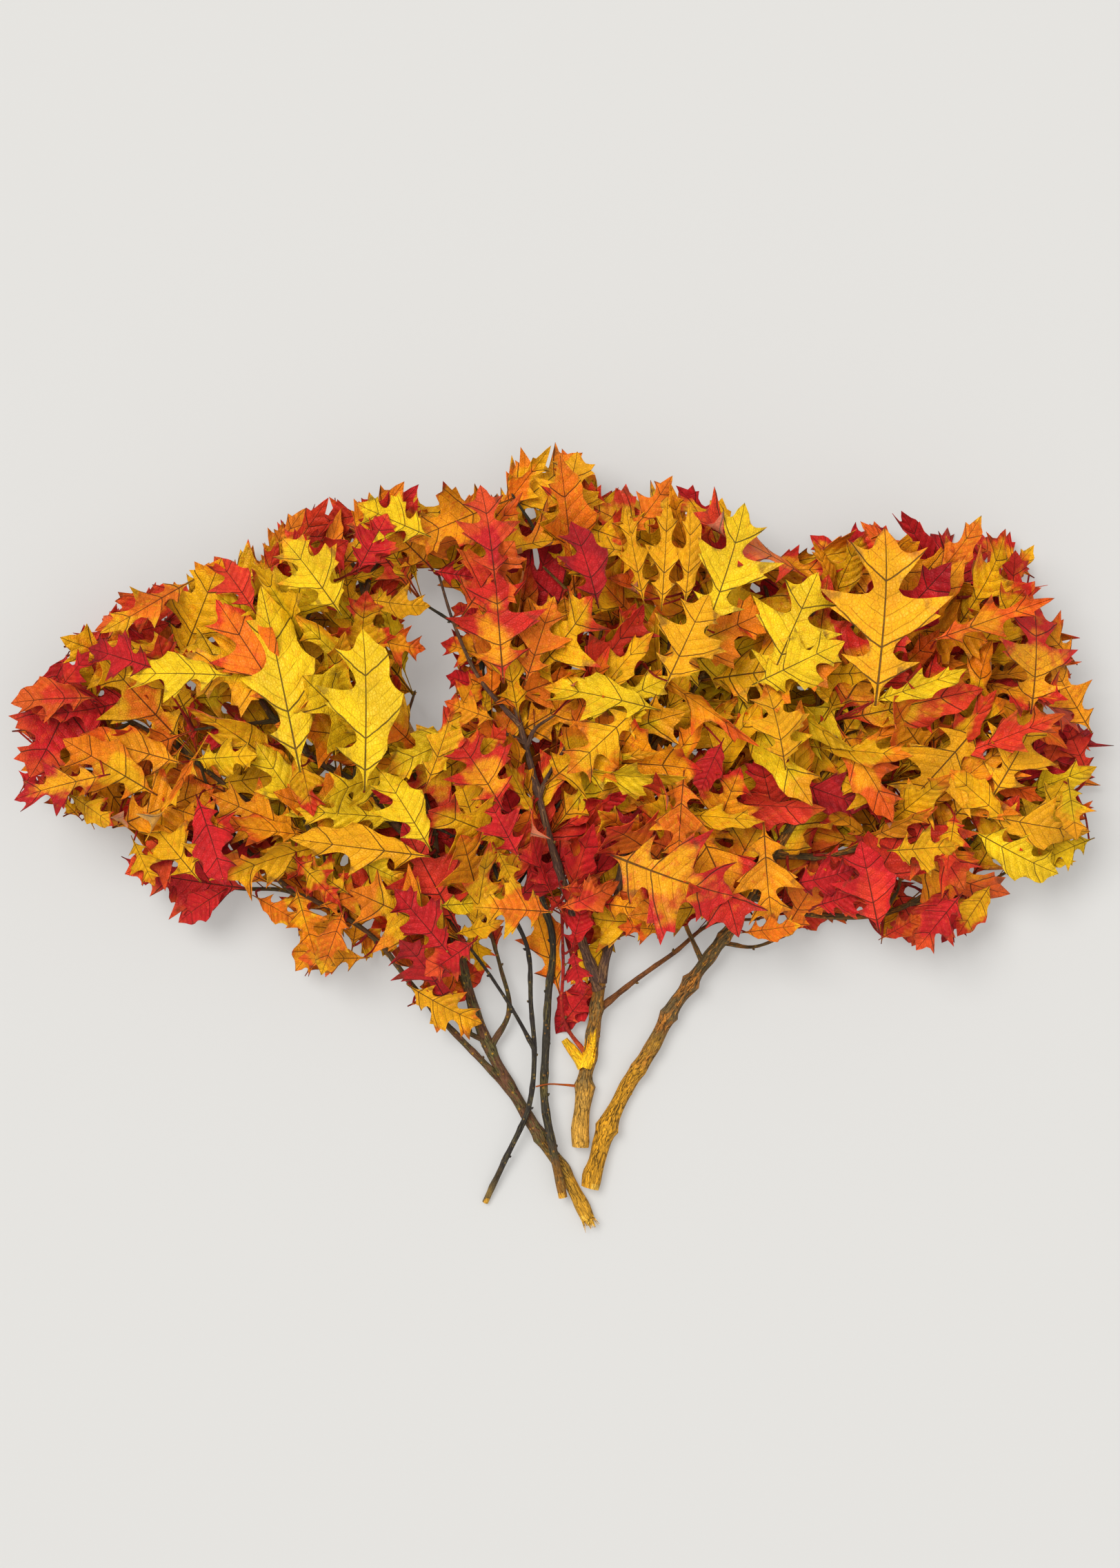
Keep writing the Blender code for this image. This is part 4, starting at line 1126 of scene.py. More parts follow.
colour = blend(pattern, pale, colour, blend(pattern, 1.0, base_tint, WARM, "MULTIPLY"))
blotches = fade(pattern, cloud(pattern, shifted, 15.0, 4.0, 0.6), 0.53, 0.68, 0.0, 0.42)
specks = fade(pattern, cloud(pattern, shifted, 34.0, 3.0, 0.6), 0.60, 0.70, 0.0, 0.45)
freckles = fade(pattern, cloud(pattern, place, 62.0, 2.0, 0.7), 0.66, 0.74, 0.0, 0.6)
burnt = maths(pattern, "MULTIPLY", fade(pattern, rim, 0.72, 1.0, 0.0, 1.0),
              fade(pattern, cloud(pattern, shifted, 9.0), 0.45, 0.7, 0.0, 0.6))
for mask, tint in ((blotches, tip_tint), (specks, tip_tint), (freckles, FRECKLE_BROWN), (burnt, RIM_BROWN)):
    colour = blend(pattern, mask, colour, tint)
colour = darken(pattern, colour, fade(pattern, cloud(pattern, shifted, 3.1, 4.0), 0.3, 0.75, 0.8, 1.17))
colour = blend(pattern, maths(pattern, "MULTIPLY", net, 0.11), colour, NET_BROWN)
vein_tint = blend(pattern, 0.55, blend(pattern, 1.0, colour, VEIN_DEEP, "MULTIPLY"), VEIN_BROWN)
colour = blend(pattern, maths(pattern, "MULTIPLY", veins, 0.92), colour, vein_tint)
print("leaf pattern has", len(pattern.nodes), "nodes so far")

# %% [markdown]
# The same values give the height, so colour and relief agree: the veins and the net sink in, the
# blade puffs up between the fine side veins, and it is crumpled all over.

# %% Raise the relief of the pattern
creases = maths(pattern, "ABSOLUTE", maths(pattern, "SUBTRACT", cloud(pattern, shifted, 6.0, 2.0), 0.5))
height = maths(pattern, "MULTIPLY_ADD", cloud(pattern, place, 13.0, 4.0, 0.55), 0.55, creases)
for mask, lift in ((veins, -0.5), (net, -0.09), (fade(pattern, comb, 0.0, 0.05, 0.0, 1.0), 0.28)):
    height = maths(pattern, "MULTIPLY_ADD", mask, lift, height)
put(pattern, "NodeGroupOutput", {"Colour": colour, "Height": height})
print("leaf pattern has", len(pattern.nodes), "nodes")

# %% [markdown]
# The upper face is satin and clear in colour. The underside is duller and paler, with veins that
# stand out instead of sinking in, so one pattern serves both with other strengths.

# %% The two faces of a leaf
UNDERSIDE_PALE = (0.62, 0.42, 0.24, 1)


def new_material(name, group):
    """A material with a pattern group beside its shader."""
    material = bpy.data.materials.new(name)
    material.use_nodes = True
    source = material.node_tree.nodes.new("ShaderNodeGroup")
    source.node_tree = group
    return material, source


def finish_surface(material, colour, height, relief, strength, rough, spread, top, specular):
    """Colour, roughness and bump: the surface is rough in its hollows and smoother on top."""
    tree = material.node_tree
    shader = tree.nodes["Principled BSDF"]
    bump = put(tree, "ShaderNodeBump", {"Height": height, "Strength": strength, "Distance": relief})
    tree.links.new(colour, shader.inputs["Base Color"])
    tree.links.new(fade(tree, height, 0.1, top, rough + spread, rough - spread),
                   shader.inputs["Roughness"])
    tree.links.new(bump.outputs["Normal"], shader.inputs["Normal"])
    shader.inputs["Specular IOR Level"].default_value = specular
    return material


def leaf_material(name, pale, relief, rough):
    material, source = new_material(name, pattern)
    colour = source.outputs["Colour"]
    if pale:
        colour = blend(material.node_tree, pale, colour, UNDERSIDE_PALE)
    return finish_surface(material, colour, source.outputs["Height"], relief, strength=0.75,
                          rough=rough, spread=0.07, top=0.5, specular=0.2)


leaf_top = leaf_material("leaf_top", pale=0.0, relief=0.0042, rough=0.5)
leaf_underside = leaf_material("leaf_underside", pale=0.36, relief=-0.0042, rough=0.66)
print("leaf materials:", leaf_top.name, leaf_underside.name)

# %% [markdown]
# The leaves are dyed and preserved. Yellow ones turn orange and red towards the lobes, others are
# red all over, and neighbours on one twig share their colours. So each leaf takes a dye from the
# part of the fan it lies in: one tint for its middle, how far that reaches, and one for its tips.
# The zones name the dyes that are common round a place, in millimetres.

# %% Dye the leaves by their place in the fan
DYES = {
    "lemon": ((238, 193, 18), ((240, 180, 14), (238, 156, 16))),
    "honey": ((238, 166, 12), ((236, 140, 14), (230, 116, 18))),
    "ember": ((238, 158, 14), ((202, 32, 30), (190, 24, 32))),
    "gold": ((239, 173, 12), ((236, 126, 16), (212, 54, 26))),
    "amber": ((240, 150, 14), ((226, 90, 20), (206, 38, 28))),
    "orange": ((234, 114, 18), ((214, 54, 26), (244, 174, 16))),
    "scarlet": ((220, 54, 34), ((198, 26, 32), (228, 96, 28))),
    "crimson": ((198, 28, 34), ((160, 16, 28), (220, 74, 32))),
}
ZONES = {
    (-430, 95): "scarlet crimson", (-380, 150): "crimson amber scarlet",
    (-330, 190): "scarlet orange gold", (-290, 60): "amber orange gold",
    (-340, 0): "amber gold", (-300, -40): "crimson",
    (-195, -90): "amber gold orange", (-200, 240): "lemon gold scarlet",
    (-130, 250): "scarlet gold amber", (-90, 270): "amber gold", (-190, 140): "lemon gold",
    (-150, 60): "lemon gold", (-240, 100): "lemon gold", (-130, -40): "lemon gold orange",
    (-100, -110): "crimson orange", (-60, -60): "scarlet gold orange", (-100, 20): "gold scarlet amber",
    (-70, 120): "orange amber gold", (-50, 220): "scarlet crimson orange", (0, 280): "gold amber orange",
    (20, 180): "scarlet orange amber gold", (30, -20): "scarlet crimson orange", (15, -130): "crimson",
    (60, -60): "gold amber", (90, 240): "amber gold", (100, 130): "lemon gold",
    (170, 140): "lemon gold", (120, 20): "gold amber scarlet", (170, 240): "crimson gold orange",
    (170, -40): "amber orange crimson", (220, 180): "gold amber", (290, 110): "gold amber",
    (250, 250): "scarlet crimson amber", (350, 220): "amber scarlet gold",
    (400, 200): "crimson scarlet amber", (420, 90): "crimson scarlet amber",
    (260, 20): "gold lemon amber", (340, 30): "gold amber",
    (400, 10): "gold lemon amber", (220, -30): "scarlet amber", (290, -70): "scarlet crimson amber",
}
ZONE_BLUR = 18.0
DYE_SHADE = (0.94, 1.07)
DYE_REACH = (0.2, 0.62)
REACH_MORE = {"lemon": 0.3, "honey": 0.3, "ember": -0.12}


def linear(colour):
    """Screen colour, 0 to 255, as the light values that materials take."""
    values = np.array(colour) / 255.0
    return np.where(values <= 0.04045, values / 12.92, ((values + 0.055) / 1.055) ** 2.4)


def dye_for(leaf):
    """A leaf's tints for its middle and tips, the reach of the first, and a seed for its pattern."""
    draw = random.Random("dye-" + leaf["name"])
    middle = bend_points(leaf, np.array([0.5]), np.array([0.0]))[0]
    x = middle[0] + draw.gauss(0.0, ZONE_BLUR)
    y = middle[1] + draw.gauss(0.0, ZONE_BLUR)
    zone = min(ZONES, key=lambda at: (at[0] - x) ** 2 + (at[1] - y) ** 2)
    base, tips = DYES[leaf.get("dye", draw.choice(ZONES[zone].split()))]
    shade = draw.uniform(*DYE_SHADE)
    reach = draw.uniform(*DYE_REACH) + REACH_MORE.get(leaf.get("dye"), 0.0)
    return linear(base) * shade, linear(draw.choice(tips)) * shade, reach, draw.random()


print("dyes:", len(DYES), "zones:", len(ZONES))

# %% [markdown]
# Each copy of the flat leaf is bent as its plain blade is, then gets what a dried leaf adds: a fold
# along the midrib, a rippled margin and lobes that curl by themselves. The midrib gets none of
# these, so the fine leaf ends where the plain one does. A thin wall gives it two faces.

# %% Bend, dye and join the leaves of each branch
FOLD = (0.03, 0.2)
RIPPLE = (0.006, 0.026)
RIPPLE_WAVES = ((1.6, 1.0), (3.7, 0.6))
RIPPLE_WIDE = 0.3
LOBE_CURL = 0.1
LOBE_WIDE = 0.13
LOBE_PLACES = ((0.24, 0.25), (0.58, 0.4), (0.85, 0.22))
CREST = 106.0
CREST_GIVE = 0.35
LEAF_WALL = 0.45
SHARP_RIM = math.radians(50)
OWN_FORMS = ("deep", "broad", "open", "deep")
MORE_FORMS = ("deep", "broad", "uneven", "slim", "lance", "uneven")


def shaped_points(leaf, flat):
    """The flat leaf's points on its curled, folded and rippled leaf, in the frame's metres."""
    draw = random.Random("curl-" + leaf["name"])
    u = flat[:, 0].copy()
    v = flat[:, 1]
    stalk = u < 0
    u[stalk] *= leaf["petiole"] / leaf["long"] / STALK_PART
    rise = np.abs(v) * draw.uniform(*FOLD)
    for side in (-1, 1):
        there = np.clip(side * v / RIPPLE_WIDE, 0, 1)
        for wave, share in RIPPLE_WAVES:
            size = draw.uniform(*RIPPLE) * share
            turn = draw.uniform(0, 2 * math.pi)
            rise = rise + size * there * np.sin(2 * math.pi * wave * u + turn)
        for along, out in LOBE_PLACES:
            curl = draw.gauss(0.0, LOBE_CURL)
            near = np.exp(-((u - along) / LOBE_WIDE) ** 2)
            rise = rise + curl * near * np.clip(side * v / out, 0, 1.2) ** 2
    points = bend_points(leaf, u, v, rise * leaf["long"])
    over = np.maximum(points[:, 2] - CREST, 0.0)
    points[:, 2] -= over * (1.0 - CREST_GIVE)
    return (points + np.array(MOVE)) * MM


def leaf_wall(piece):
    """Give the blades a thin wall, whose other side takes the second material."""
    bpy.ops.object.select_all(action="DESELECT")
    bpy.context.view_layer.objects.active = piece
    piece.select_set(True)
    wall = piece.modifiers.new("wall", "SOLIDIFY")
    wall.thickness = LEAF_WALL * MM
    wall.offset = 0.0
    wall.material_offset = 1
    bpy.ops.object.modifier_apply(modifier=wall.name)
    bpy.ops.object.shade_smooth_by_angle(angle=SHARP_RIM)


def branch_leaves(node, found):
    """All leaves of one branch as one thin mesh, each with its map and its dyes."""
    coords, faces, maps = [], [], []
    tints = {"base_tint": [], "tip_tint": [], "traits": []}
    start = 0
    for leaf in found:
        draw = random.Random("form-" + leaf["name"])
        forms = MORE_FORMS if leaf["name"].startswith("more") else OWN_FORMS
        points, triangles, rim = shapes[leaf.get("form", draw.choice(forms))]
        base, tip, reach, seed = dye_for(leaf)
        count = len(points)
        coords.append(shaped_points(leaf, points))
        faces.append(triangles + start)
        maps.append(points + np.array([0.0, 0.5]))
        tints["base_tint"].append(np.tile(np.append(base, 1.0), (count, 1)))
        tints["tip_tint"].append(np.tile(np.append(tip, 1.0), (count, 1)))
        tints["traits"].append(np.stack([np.full(count, reach), np.full(count, seed), rim,
                                         np.ones(count)], axis=1))
        start += count
    faces = np.concatenate(faces)
    mesh = bpy.data.meshes.new(f"{node}_leaves")
    mesh.from_pydata(np.concatenate(coords).tolist(), [], faces.tolist())
    leaf_map = mesh.uv_layers.new(name="leaf_map")
    leaf_map.data.foreach_set("uv", np.concatenate(maps)[faces.ravel()].ravel())
    for name, values in tints.items():
        layer = mesh.attributes.new(name, "FLOAT_COLOR", "POINT")
        layer.data.foreach_set("color", np.concatenate(values).ravel())
    piece = bpy.data.objects.new(f"{node}_leaves", mesh)
    bpy.context.scene.collection.objects.link(piece)
    piece.data.materials.append(leaf_top)
    piece.data.materials.append(leaf_underside)
    leaf_wall(piece)
    return piece


print("leaves to make:", sum(len(found) for found in leaves.values()))

# %% [markdown]
# Bark is brown outer skin with fibres and fine cracks along the limb, small pale spots and rough
# patches of ochre or olive. One group draws it, from Object coordinates for the patches and from
# the limb's own map for what runs along it.

# %% The pattern of bark
bark = new_group("bark_pattern", [("Skin", "NodeSocketColor", (0.2, 0.12, 0.06, 1)),
                                  ("Patch", "NodeSocketColor", (0.4, 0.28, 0.1, 1)),
                                  ("Low", "NodeSocketColor", (0.5, 0.3, 0.05, 1)),
                                  ("Crack", "NodeSocketColor", (0.022, 0.014, 0.008, 1)),
                                  ("Patches", "NodeSocketFloat", 0.5),
                                  ("Cracks", "NodeSocketFloat", 0.5),
                                  ("Low Ends", "NodeSocketFloat", -0.3)],
                 [("Colour", "NodeSocketColor"), ("Height", "NodeSocketFloat")])
given = bark.nodes.new("NodeGroupInput").outputs
grain_map = put(bark, "ShaderNodeUVMap", uv_map="bark_map").outputs["UV"]
object_place = put(bark, "ShaderNodeTexCoord").outputs["Object"]
wander = put(bark, "ShaderNodeTexNoise", {"Vector": object_place, "Scale": 160.0, "Detail": 2.0})
wander = vectors(bark, "MULTIPLY", wander.outputs["Color"], (0.16, 0.05, 0.0))
grain = vectors(bark, "ADD", grain_map, wander)
long_grain = put(bark, "ShaderNodeMapping", {"Vector": grain, "Scale": (2.4, 13.0, 1.0)}).outputs[0]
plate_grain = put(bark, "ShaderNodeMapping", {"Vector": grain, "Scale": (4.2, 15.0, 1.0)}).outputs[0]
streaks = cloud(bark, long_grain, 1.0, 5.0, 0.65)
fibres = cloud(bark, long_grain, 3.4, 3.0, 0.6)
patches = cloud(bark, object_place, 70.0, 5.0, 0.65)
specks = cloud(bark, object_place, 620.0, 3.0, 0.6)
plates = cells(bark, plate_grain, 1.0)
dots = cells(bark, object_place, 210.0, "F1")
print("bark pattern has", len(bark.nodes), "nodes so far")

# %% [markdown]
# The skin's tint gives way to the second tint in patches, and to a third towards the cut ends,
# which lie low along Y. Cracks run between the plates, broken up by the fibres. Their dark tint is
# partly the bark's own darker colour and partly painted shade in the hollows. The fibres and streaks
# darken and lighten the whole. The same values make the height.

# %% Colour and relief of the bark
uneven = maths(bark, "MULTIPLY_ADD", patches, 0.5, maths(bark, "MULTIPLY", streaks, 0.5))
limit = maths(bark, "MULTIPLY_ADD", given["Patches"], -0.3, 0.65)
patch = fade(bark, maths(bark, "SUBTRACT", uneven, limit), -0.06, 0.06, 0.0, 1.0)
up_y = put(bark, "ShaderNodeSeparateXYZ", {"Vector": object_place}).outputs["Y"]
ragged = maths(bark, "MULTIPLY_ADD", maths(bark, "SUBTRACT", uneven, 0.5), 0.16, up_y)
low = fade(bark, maths(bark, "SUBTRACT", ragged, given["Low Ends"]), -0.03, 0.03, 0.9, 0.0)
# The crack tint is partly the bark's own darker colour and partly painted shade in the hollows of the
# cracks.
crack = maths(bark, "MULTIPLY", fade(bark, plates, 0.015, 0.1), given["Cracks"])
crack = maths(bark, "MULTIPLY", crack, fade(bark, patches, 0.4, 0.56, 0.15, 1.0))
crack = maths(bark, "MULTIPLY", crack, fade(bark, fibres, 0.4, 0.58, 1.0, 0.1))
tint = given["Skin"]
for mask, name in ((patch, "Patch"), (low, "Low"), (fade(bark, specks, 0.58, 0.7, 0.0, 0.4), "Patch"),
                   (fade(bark, dots, 0.16, 0.24, 0.5, 0.0), "Low"), (crack, "Crack")):
    tint = blend(bark, mask, tint, given[name])
shade = maths(bark, "MULTIPLY", fade(bark, fibres, 0.32, 0.68, 0.5, 1.35),
              fade(bark, streaks, 0.32, 0.68, 0.62, 1.25))
rise = maths(bark, "MULTIPLY_ADD", fibres, 0.5, maths(bark, "MULTIPLY", streaks, 0.4))
for mask, lift in ((crack, -0.9), (specks, 0.25)):
    rise = maths(bark, "MULTIPLY_ADD", mask, lift, rise)
put(bark, "NodeGroupOutput", {"Colour": darken(bark, tint, shade), "Height": rise})
print("bark pattern has", len(bark.nodes), "nodes")

# %% [markdown]
# Every wood of the bunch is this pattern with its own tints, so they are rows of one table: the
# skin, the patches, the cut ends, how high along Y those reach, in metres, how much of the skin is
# patched, how strong the cracks are and, on the knobbly stem, how deep the relief is.

# %% Mix the woods
WOODS = {
    "bark_brown": ((108, 68, 44), (92, 82, 44), (206, 148, 28), -0.262, 0.5, 0.6),
    "bark_charcoal": ((54, 47, 43), (86, 78, 54), (168, 134, 62), -0.292, 0.35, 0.4),
    "bark_olive": ((58, 52, 42), (96, 84, 44), (186, 124, 34), -0.276, 0.4, 0.5),
    "bark_ochre": ((166, 110, 36), (108, 86, 46), (214, 158, 58), -0.2, 0.5, 0.6),
    "bark_knobbly": ((104, 84, 48), (178, 112, 38), (210, 148, 22), -0.175, 0.45, 0.7, 0.0032),
    "bark_purple": ((92, 64, 52), (128, 92, 60), (150, 112, 66), -0.3, 0.4, 0.4),
    "bark_orange": ((142, 84, 36), (88, 58, 42), (180, 124, 54), -0.3, 0.4, 0.5),
    "bark_red": ((190, 40, 30), (146, 30, 28), (214, 110, 40), -0.175, 0.4, 0.3),
    "torn_wood": ((248, 192, 18), (232, 150, 16), (250, 200, 40), -0.3, 0.4, 0.3),
    "cut_wood": ((226, 172, 60), (204, 138, 30), (232, 180, 60), -0.3, 0.4, 0.4),
}
OWN_WOOD = {"branch_left": "bark_brown", "branch_thin": "bark_charcoal", "branch_dark": "bark_olive",
            "branch_middle": "bark_ochre", "branch_right": "bark_knobbly"}
MIDDLE_WOOD = {"long": "bark_purple", "dead_twig": "bark_purple", "under": "bark_orange",
               "north": "bark_purple", "red_twig": "bark_red", "spur_high": "bark_purple",
               "spur_low": "bark_purple"}
BARK_RELIEF = 0.0016


def bark_material(name, skin, patch_tint, low, low_ends, patches, cracks, relief=BARK_RELIEF):
    material, source = new_material(name, bark)
    for socket, colour in (("Skin", skin), ("Patch", patch_tint), ("Low", low)):
        source.inputs[socket].default_value = (*linear(colour), 1)
    for socket, value in (("Low Ends", low_ends), ("Patches", patches), ("Cracks", cracks)):
        source.inputs[socket].default_value = value
    return finish_surface(material, source.outputs["Colour"], source.outputs["Height"], relief,
                          strength=0.9, rough=0.72, spread=0.1, top=0.8, specular=0.25)


woods = {name: bark_material(name, *row) for name, row in WOODS.items()}


def wood_of(node, limb):
    """A limb has its branch's wood, but some arms of the middle branch have another."""
    family = limb.split("_twig_")[0]
    if node == "branch_middle" and family in MIDDLE_WOOD:
        return woods[MIDDLE_WOOD[family]]
    return woods[OWN_WOOD[node]]


print("woods:", len(woods))

# %% [markdown]
# A limb's rings aren't plain circles. They swell where the limb leaves its parent, at small knots
# and at the large knobs of the thick stems, and a slow noise makes them uneven, as on real wood.

# %% Swell the rings
FLARE = 0.55
FLARE_LONG = 9.0
KNOT_GAP = (16.0, 34.0)
KNOT_SWELL = (0.08, 0.24)
KNOT_LONG = (1.4, 1.0)
KNOT_ONE_SIDED = 0.8
KNOB_LONG = 4.4
KNOB_ONE_SIDED = 0.5
KNOBS = {
    "branch_right_stem": [(52, -234, 0.32), (93, -143, 0.5), (107, -114, 0.42), (139, -80, 0.34),
                          (75, -188, 0.2), (163, -38, 0.24)],
    "branch_middle_stem": [(24, -245, 0.16), (26, -199, 0.3), (37, -135, 0.3)],
    "branch_left_stem": [(-9, -240, 0.2), (-56, -156, 0.18)],
    "branch_middle_long": [(30, -98, 0.2), (4, -19, 0.25), (-12, 42, 0.3)],
}
UNEVEN = 0.07
UNEVEN_ALONG = 0.09
UNEVEN_ROUND = 1.3


def knots_along(draw, long):
    """Small knots at random gaps: how far along, how much they swell and towards which side."""
    knots = []
    at = draw.uniform(*KNOT_GAP) * 0.5
    while at < long:
        knots.append((at, draw.uniform(*KNOT_SWELL), draw.uniform(0, 2 * math.pi)))
        at += draw.uniform(*KNOT_GAP)
    return knots


def knobs_along(draw, name, course, run):
    """The large knobs of a limb, each at the ring nearest to its place."""
    knobs = []
    for x, y, swell in KNOBS.get(name, []):
        nearest = min(range(len(course)), key=lambda k: (course[k].x - x) ** 2 + (course[k].y - y) ** 2)
        knobs.append((run[nearest], swell, draw.uniform(0, 2 * math.pi)))
    return knobs


def radius_at(thick, at, turn, rooted, knots, knobs):
    """A ring's radius towards one side, with its flare, knots, knobs and unevenness."""
    radius = thick
    if rooted:
        radius *= 1.0 + FLARE * math.exp(-at / FLARE_LONG)
    for spot, swell, side in knots:
        near = math.exp(-((at - spot) / (KNOT_LONG[0] * thick + KNOT_LONG[1])) ** 2)
        radius *= 1.0 + swell * near * (1.0 + KNOT_ONE_SIDED * math.cos(turn - side))
    for spot, swell, side in knobs:
        near = math.exp(-((at - spot) / KNOB_LONG) ** 2)
        radius *= 1.0 + swell * near * (1.0 + KNOB_ONE_SIDED * math.cos(2 * turn - side))
    spot = Vector((at * UNEVEN_ALONG, math.cos(turn) * UNEVEN_ROUND, math.sin(turn) * UNEVEN_ROUND))
    return radius * (1.0 + UNEVEN * noise.noise(spot))


print("knobs:", sum(len(knobs) for knobs in KNOBS.values()))

# %% [markdown]
# A limb is a flat grid rolled into a tube: its rows become lines along the smooth course, its
# columns become rings, and its own map comes with it. The seam is merged and both ends are filled.

# %% Roll the limbs
RING_GAP = 4.5
ROUND_SIDES = 12
TWIG_ROUND_SIDES = 8
CUT_LONG = 2.2
MAP_LONG = 40.0
SEAM_GAP = 0.02
SHARP_BARK = math.radians(55)


def tube_points(name, course, run, thick, sides, rooted):
    """The places of the grid's points, row by row, round the course."""
    draw = random.Random("knots-" + name)
    knots = knots_along(draw, run[-1])
    knobs = knobs_along(draw, name, course, run)
    places = []
    for row in range(sides + 1):
        turn = 2 * math.pi * row / sides - math.pi / 2
        for k, centre in enumerate(course):
            ahead = course[min(k + 1, len(course) - 1)] - course[max(k - 1, 0)]
            across, upward = sides_of(ahead.normalized())
            radius = radius_at(float(thick[k]), run[k], turn, rooted, knots, knobs)
            spot = centre + radius * (math.cos(turn) * across + math.sin(turn) * upward)
            spot.z = max(spot.z, 0.0)
            places.append((spot + MOVE) * MM)
    return places


def stretch_map(limb, long):
    """Make the map as long as the limb, so that the grain has one size on all of them."""
    uv = limb.data.uv_layers[0].data
    flat = np.empty(len(uv) * 2, dtype=np.float32)
    uv.foreach_get("uv", flat)
    flat[0::2] *= long / MAP_LONG
    uv.foreach_set("uv", flat)


def roll_limb(name, route, radii, sides, rooted, material):
    """One limb as a closed tube with knots, on a smooth curve through its coarse course."""
    course = smooth_points(route, lambda b, c: max(2, round((c - b).length / RING_GAP)))
    run = lengths_along(course)
    coarse_run = lengths_along(route)
    thick = np.interp(np.array(run) / run[-1], np.array(coarse_run) / coarse_run[-1], radii)
    bpy.ops.object.select_all(action="DESELECT")
    bpy.ops.mesh.primitive_grid_add(x_subdivisions=len(course) - 1, y_subdivisions=sides, size=2.0)
    limb = bpy.context.object
    limb.name = name
    limb.data.uv_layers[0].name = "bark_map"
    places = tube_points(name, course, run, thick, sides, rooted)
    limb.data.vertices.foreach_set("co", np.array(places, dtype=np.float32).ravel())
    stretch_map(limb, run[-1])
    bpy.ops.object.mode_set(mode="EDIT")
    bpy.ops.mesh.select_all(action="SELECT")
    bpy.ops.mesh.remove_doubles(threshold=SEAM_GAP * MM)
    bpy.ops.mesh.select_all(action="SELECT")
    bpy.ops.mesh.fill_holes(sides=sides + 2)
    bpy.ops.mesh.select_all(action="SELECT")
    bpy.ops.mesh.normals_make_consistent(inside=False)
    bpy.ops.object.mode_set(mode="OBJECT")
    limb.location = (0, 0, 0)
    limb.data.materials.append(material)
    limb.data.materials.append(woods["cut_wood"])
    cut_line = (course[0].y + MOVE.y + CUT_LONG) * MM
    for face in limb.data.polygons:
        at_cut = (face.center / MM - MOVE - course[0]).length < CUT_LONG + thick[0]
        if len(face.vertices) > 4 or (not rooted and at_cut and face.center.y < cut_line):
            face.material_index = 1
    bpy.ops.object.shade_smooth_by_angle(angle=SHARP_BARK)
    return limb


def roll_loose(name, points, thick, sides, wood):
    """A short tube along a course of its own, such as a stalk."""
    route = smooth_route([Vector(p) for p in points], LIMB_STEP / 4)
    return roll_limb(name, route, radii_along(route, *thick), sides, True, woods[wood])


print("limbs to roll:", sum(len(limbs) for limbs in branches.values()))

# %% [markdown]
# Buds and splinters are small and many. Each is modelled once, a bud as a sphere drawn out to a
# point and a splinter as a flat cone, and copied with its own place, size and direction.

# %% Model a bud and a splinter
COPY_LOWEST = 0.05
BUD_POINTED = 0.35
SPLINTER_TIP = 0.12
SPLINTER_FLAT = 0.4


def small_shape(name, add, shape):
    """Points and faces of a small form, one unit long along Z from the origin."""
    bpy.ops.object.select_all(action="DESELECT")
    add()
    form = bpy.context.object
    form.name = name
    for vertex in form.data.vertices:
        vertex.co = shape(vertex.co)
    points = np.array([vertex.co[:] for vertex in form.data.vertices])
    faces = [list(face.vertices) for face in form.data.polygons]
    bpy.data.objects.remove(form)
    return points, faces


def pointed(p):
    return Vector((p.x * (1 - BUD_POINTED * p.z), p.y * (1 - BUD_POINTED * p.z), (p.z + 1) / 2))


def flattened(p):
    return Vector((p.x, p.y * SPLINTER_FLAT, p.z + 0.5))


bud_shape = small_shape("bud", lambda: bpy.ops.mesh.primitive_uv_sphere_add(
    segments=6, ring_count=5), pointed)
splinter_shape = small_shape("splinter", lambda: bpy.ops.mesh.primitive_cone_add(
    vertices=5, radius1=1.0, radius2=SPLINTER_TIP, depth=1.0), flattened)


def copies(name, shape, placings, material):
    """Copies of a small form, each given as its base, direction, length, width and turn."""
    points, faces = shape
    coords, all_faces = [], []
    for base, way, long, wide, turn in placings:
        turned = Vector(way).to_track_quat("Z", "X").to_matrix() @ Matrix.Rotation(turn, 3, "Z")
        sized = points * np.array([wide, wide, long])
        spots = sized @ np.array(turned).T + np.array(base) + np.array(MOVE)
        spots[:, 2] = np.maximum(spots[:, 2], COPY_LOWEST)
        all_faces += [[k + len(points) * len(coords) for k in face] for face in faces]
        coords.append(spots * MM)
    mesh = bpy.data.meshes.new(name)
    mesh.from_pydata(np.concatenate(coords).tolist(), [], all_faces)
    bark_map = mesh.uv_layers.new(name="bark_map")
    own = [(k * 0.23, p[2] * 0.4 + p[0] * 0.05) for k in range(len(placings)) for p in points]
    bark_map.data.foreach_set("uv", [x for corner in mesh.loops for x in own[corner.vertex_index]])
    piece = bpy.data.objects.new(name, mesh)
    bpy.context.scene.collection.objects.link(piece)
    mesh.materials.append(material)
    return piece


print("faces of a bud and a splinter:", len(bud_shape[1]), len(splinter_shape[1]))

# %% [markdown]
# A bud sits at the tip of every limb and twig and at each of its inner points, on either side by
# chance. The cut end of the left stem was snapped, so splinters fan out round it.

# %% Buds and the frayed end
BUD_LONG = (2.2, 4.2)
BUD_THICKEST = 1.5
BUD_SUNK = 0.8
SPLINTER_LONG = (7.0, 15.0)
FRAYED_SPLINTERS = 18
FRAYED_SHORTER = 0.85
FRAYED_SUNK = 3.0


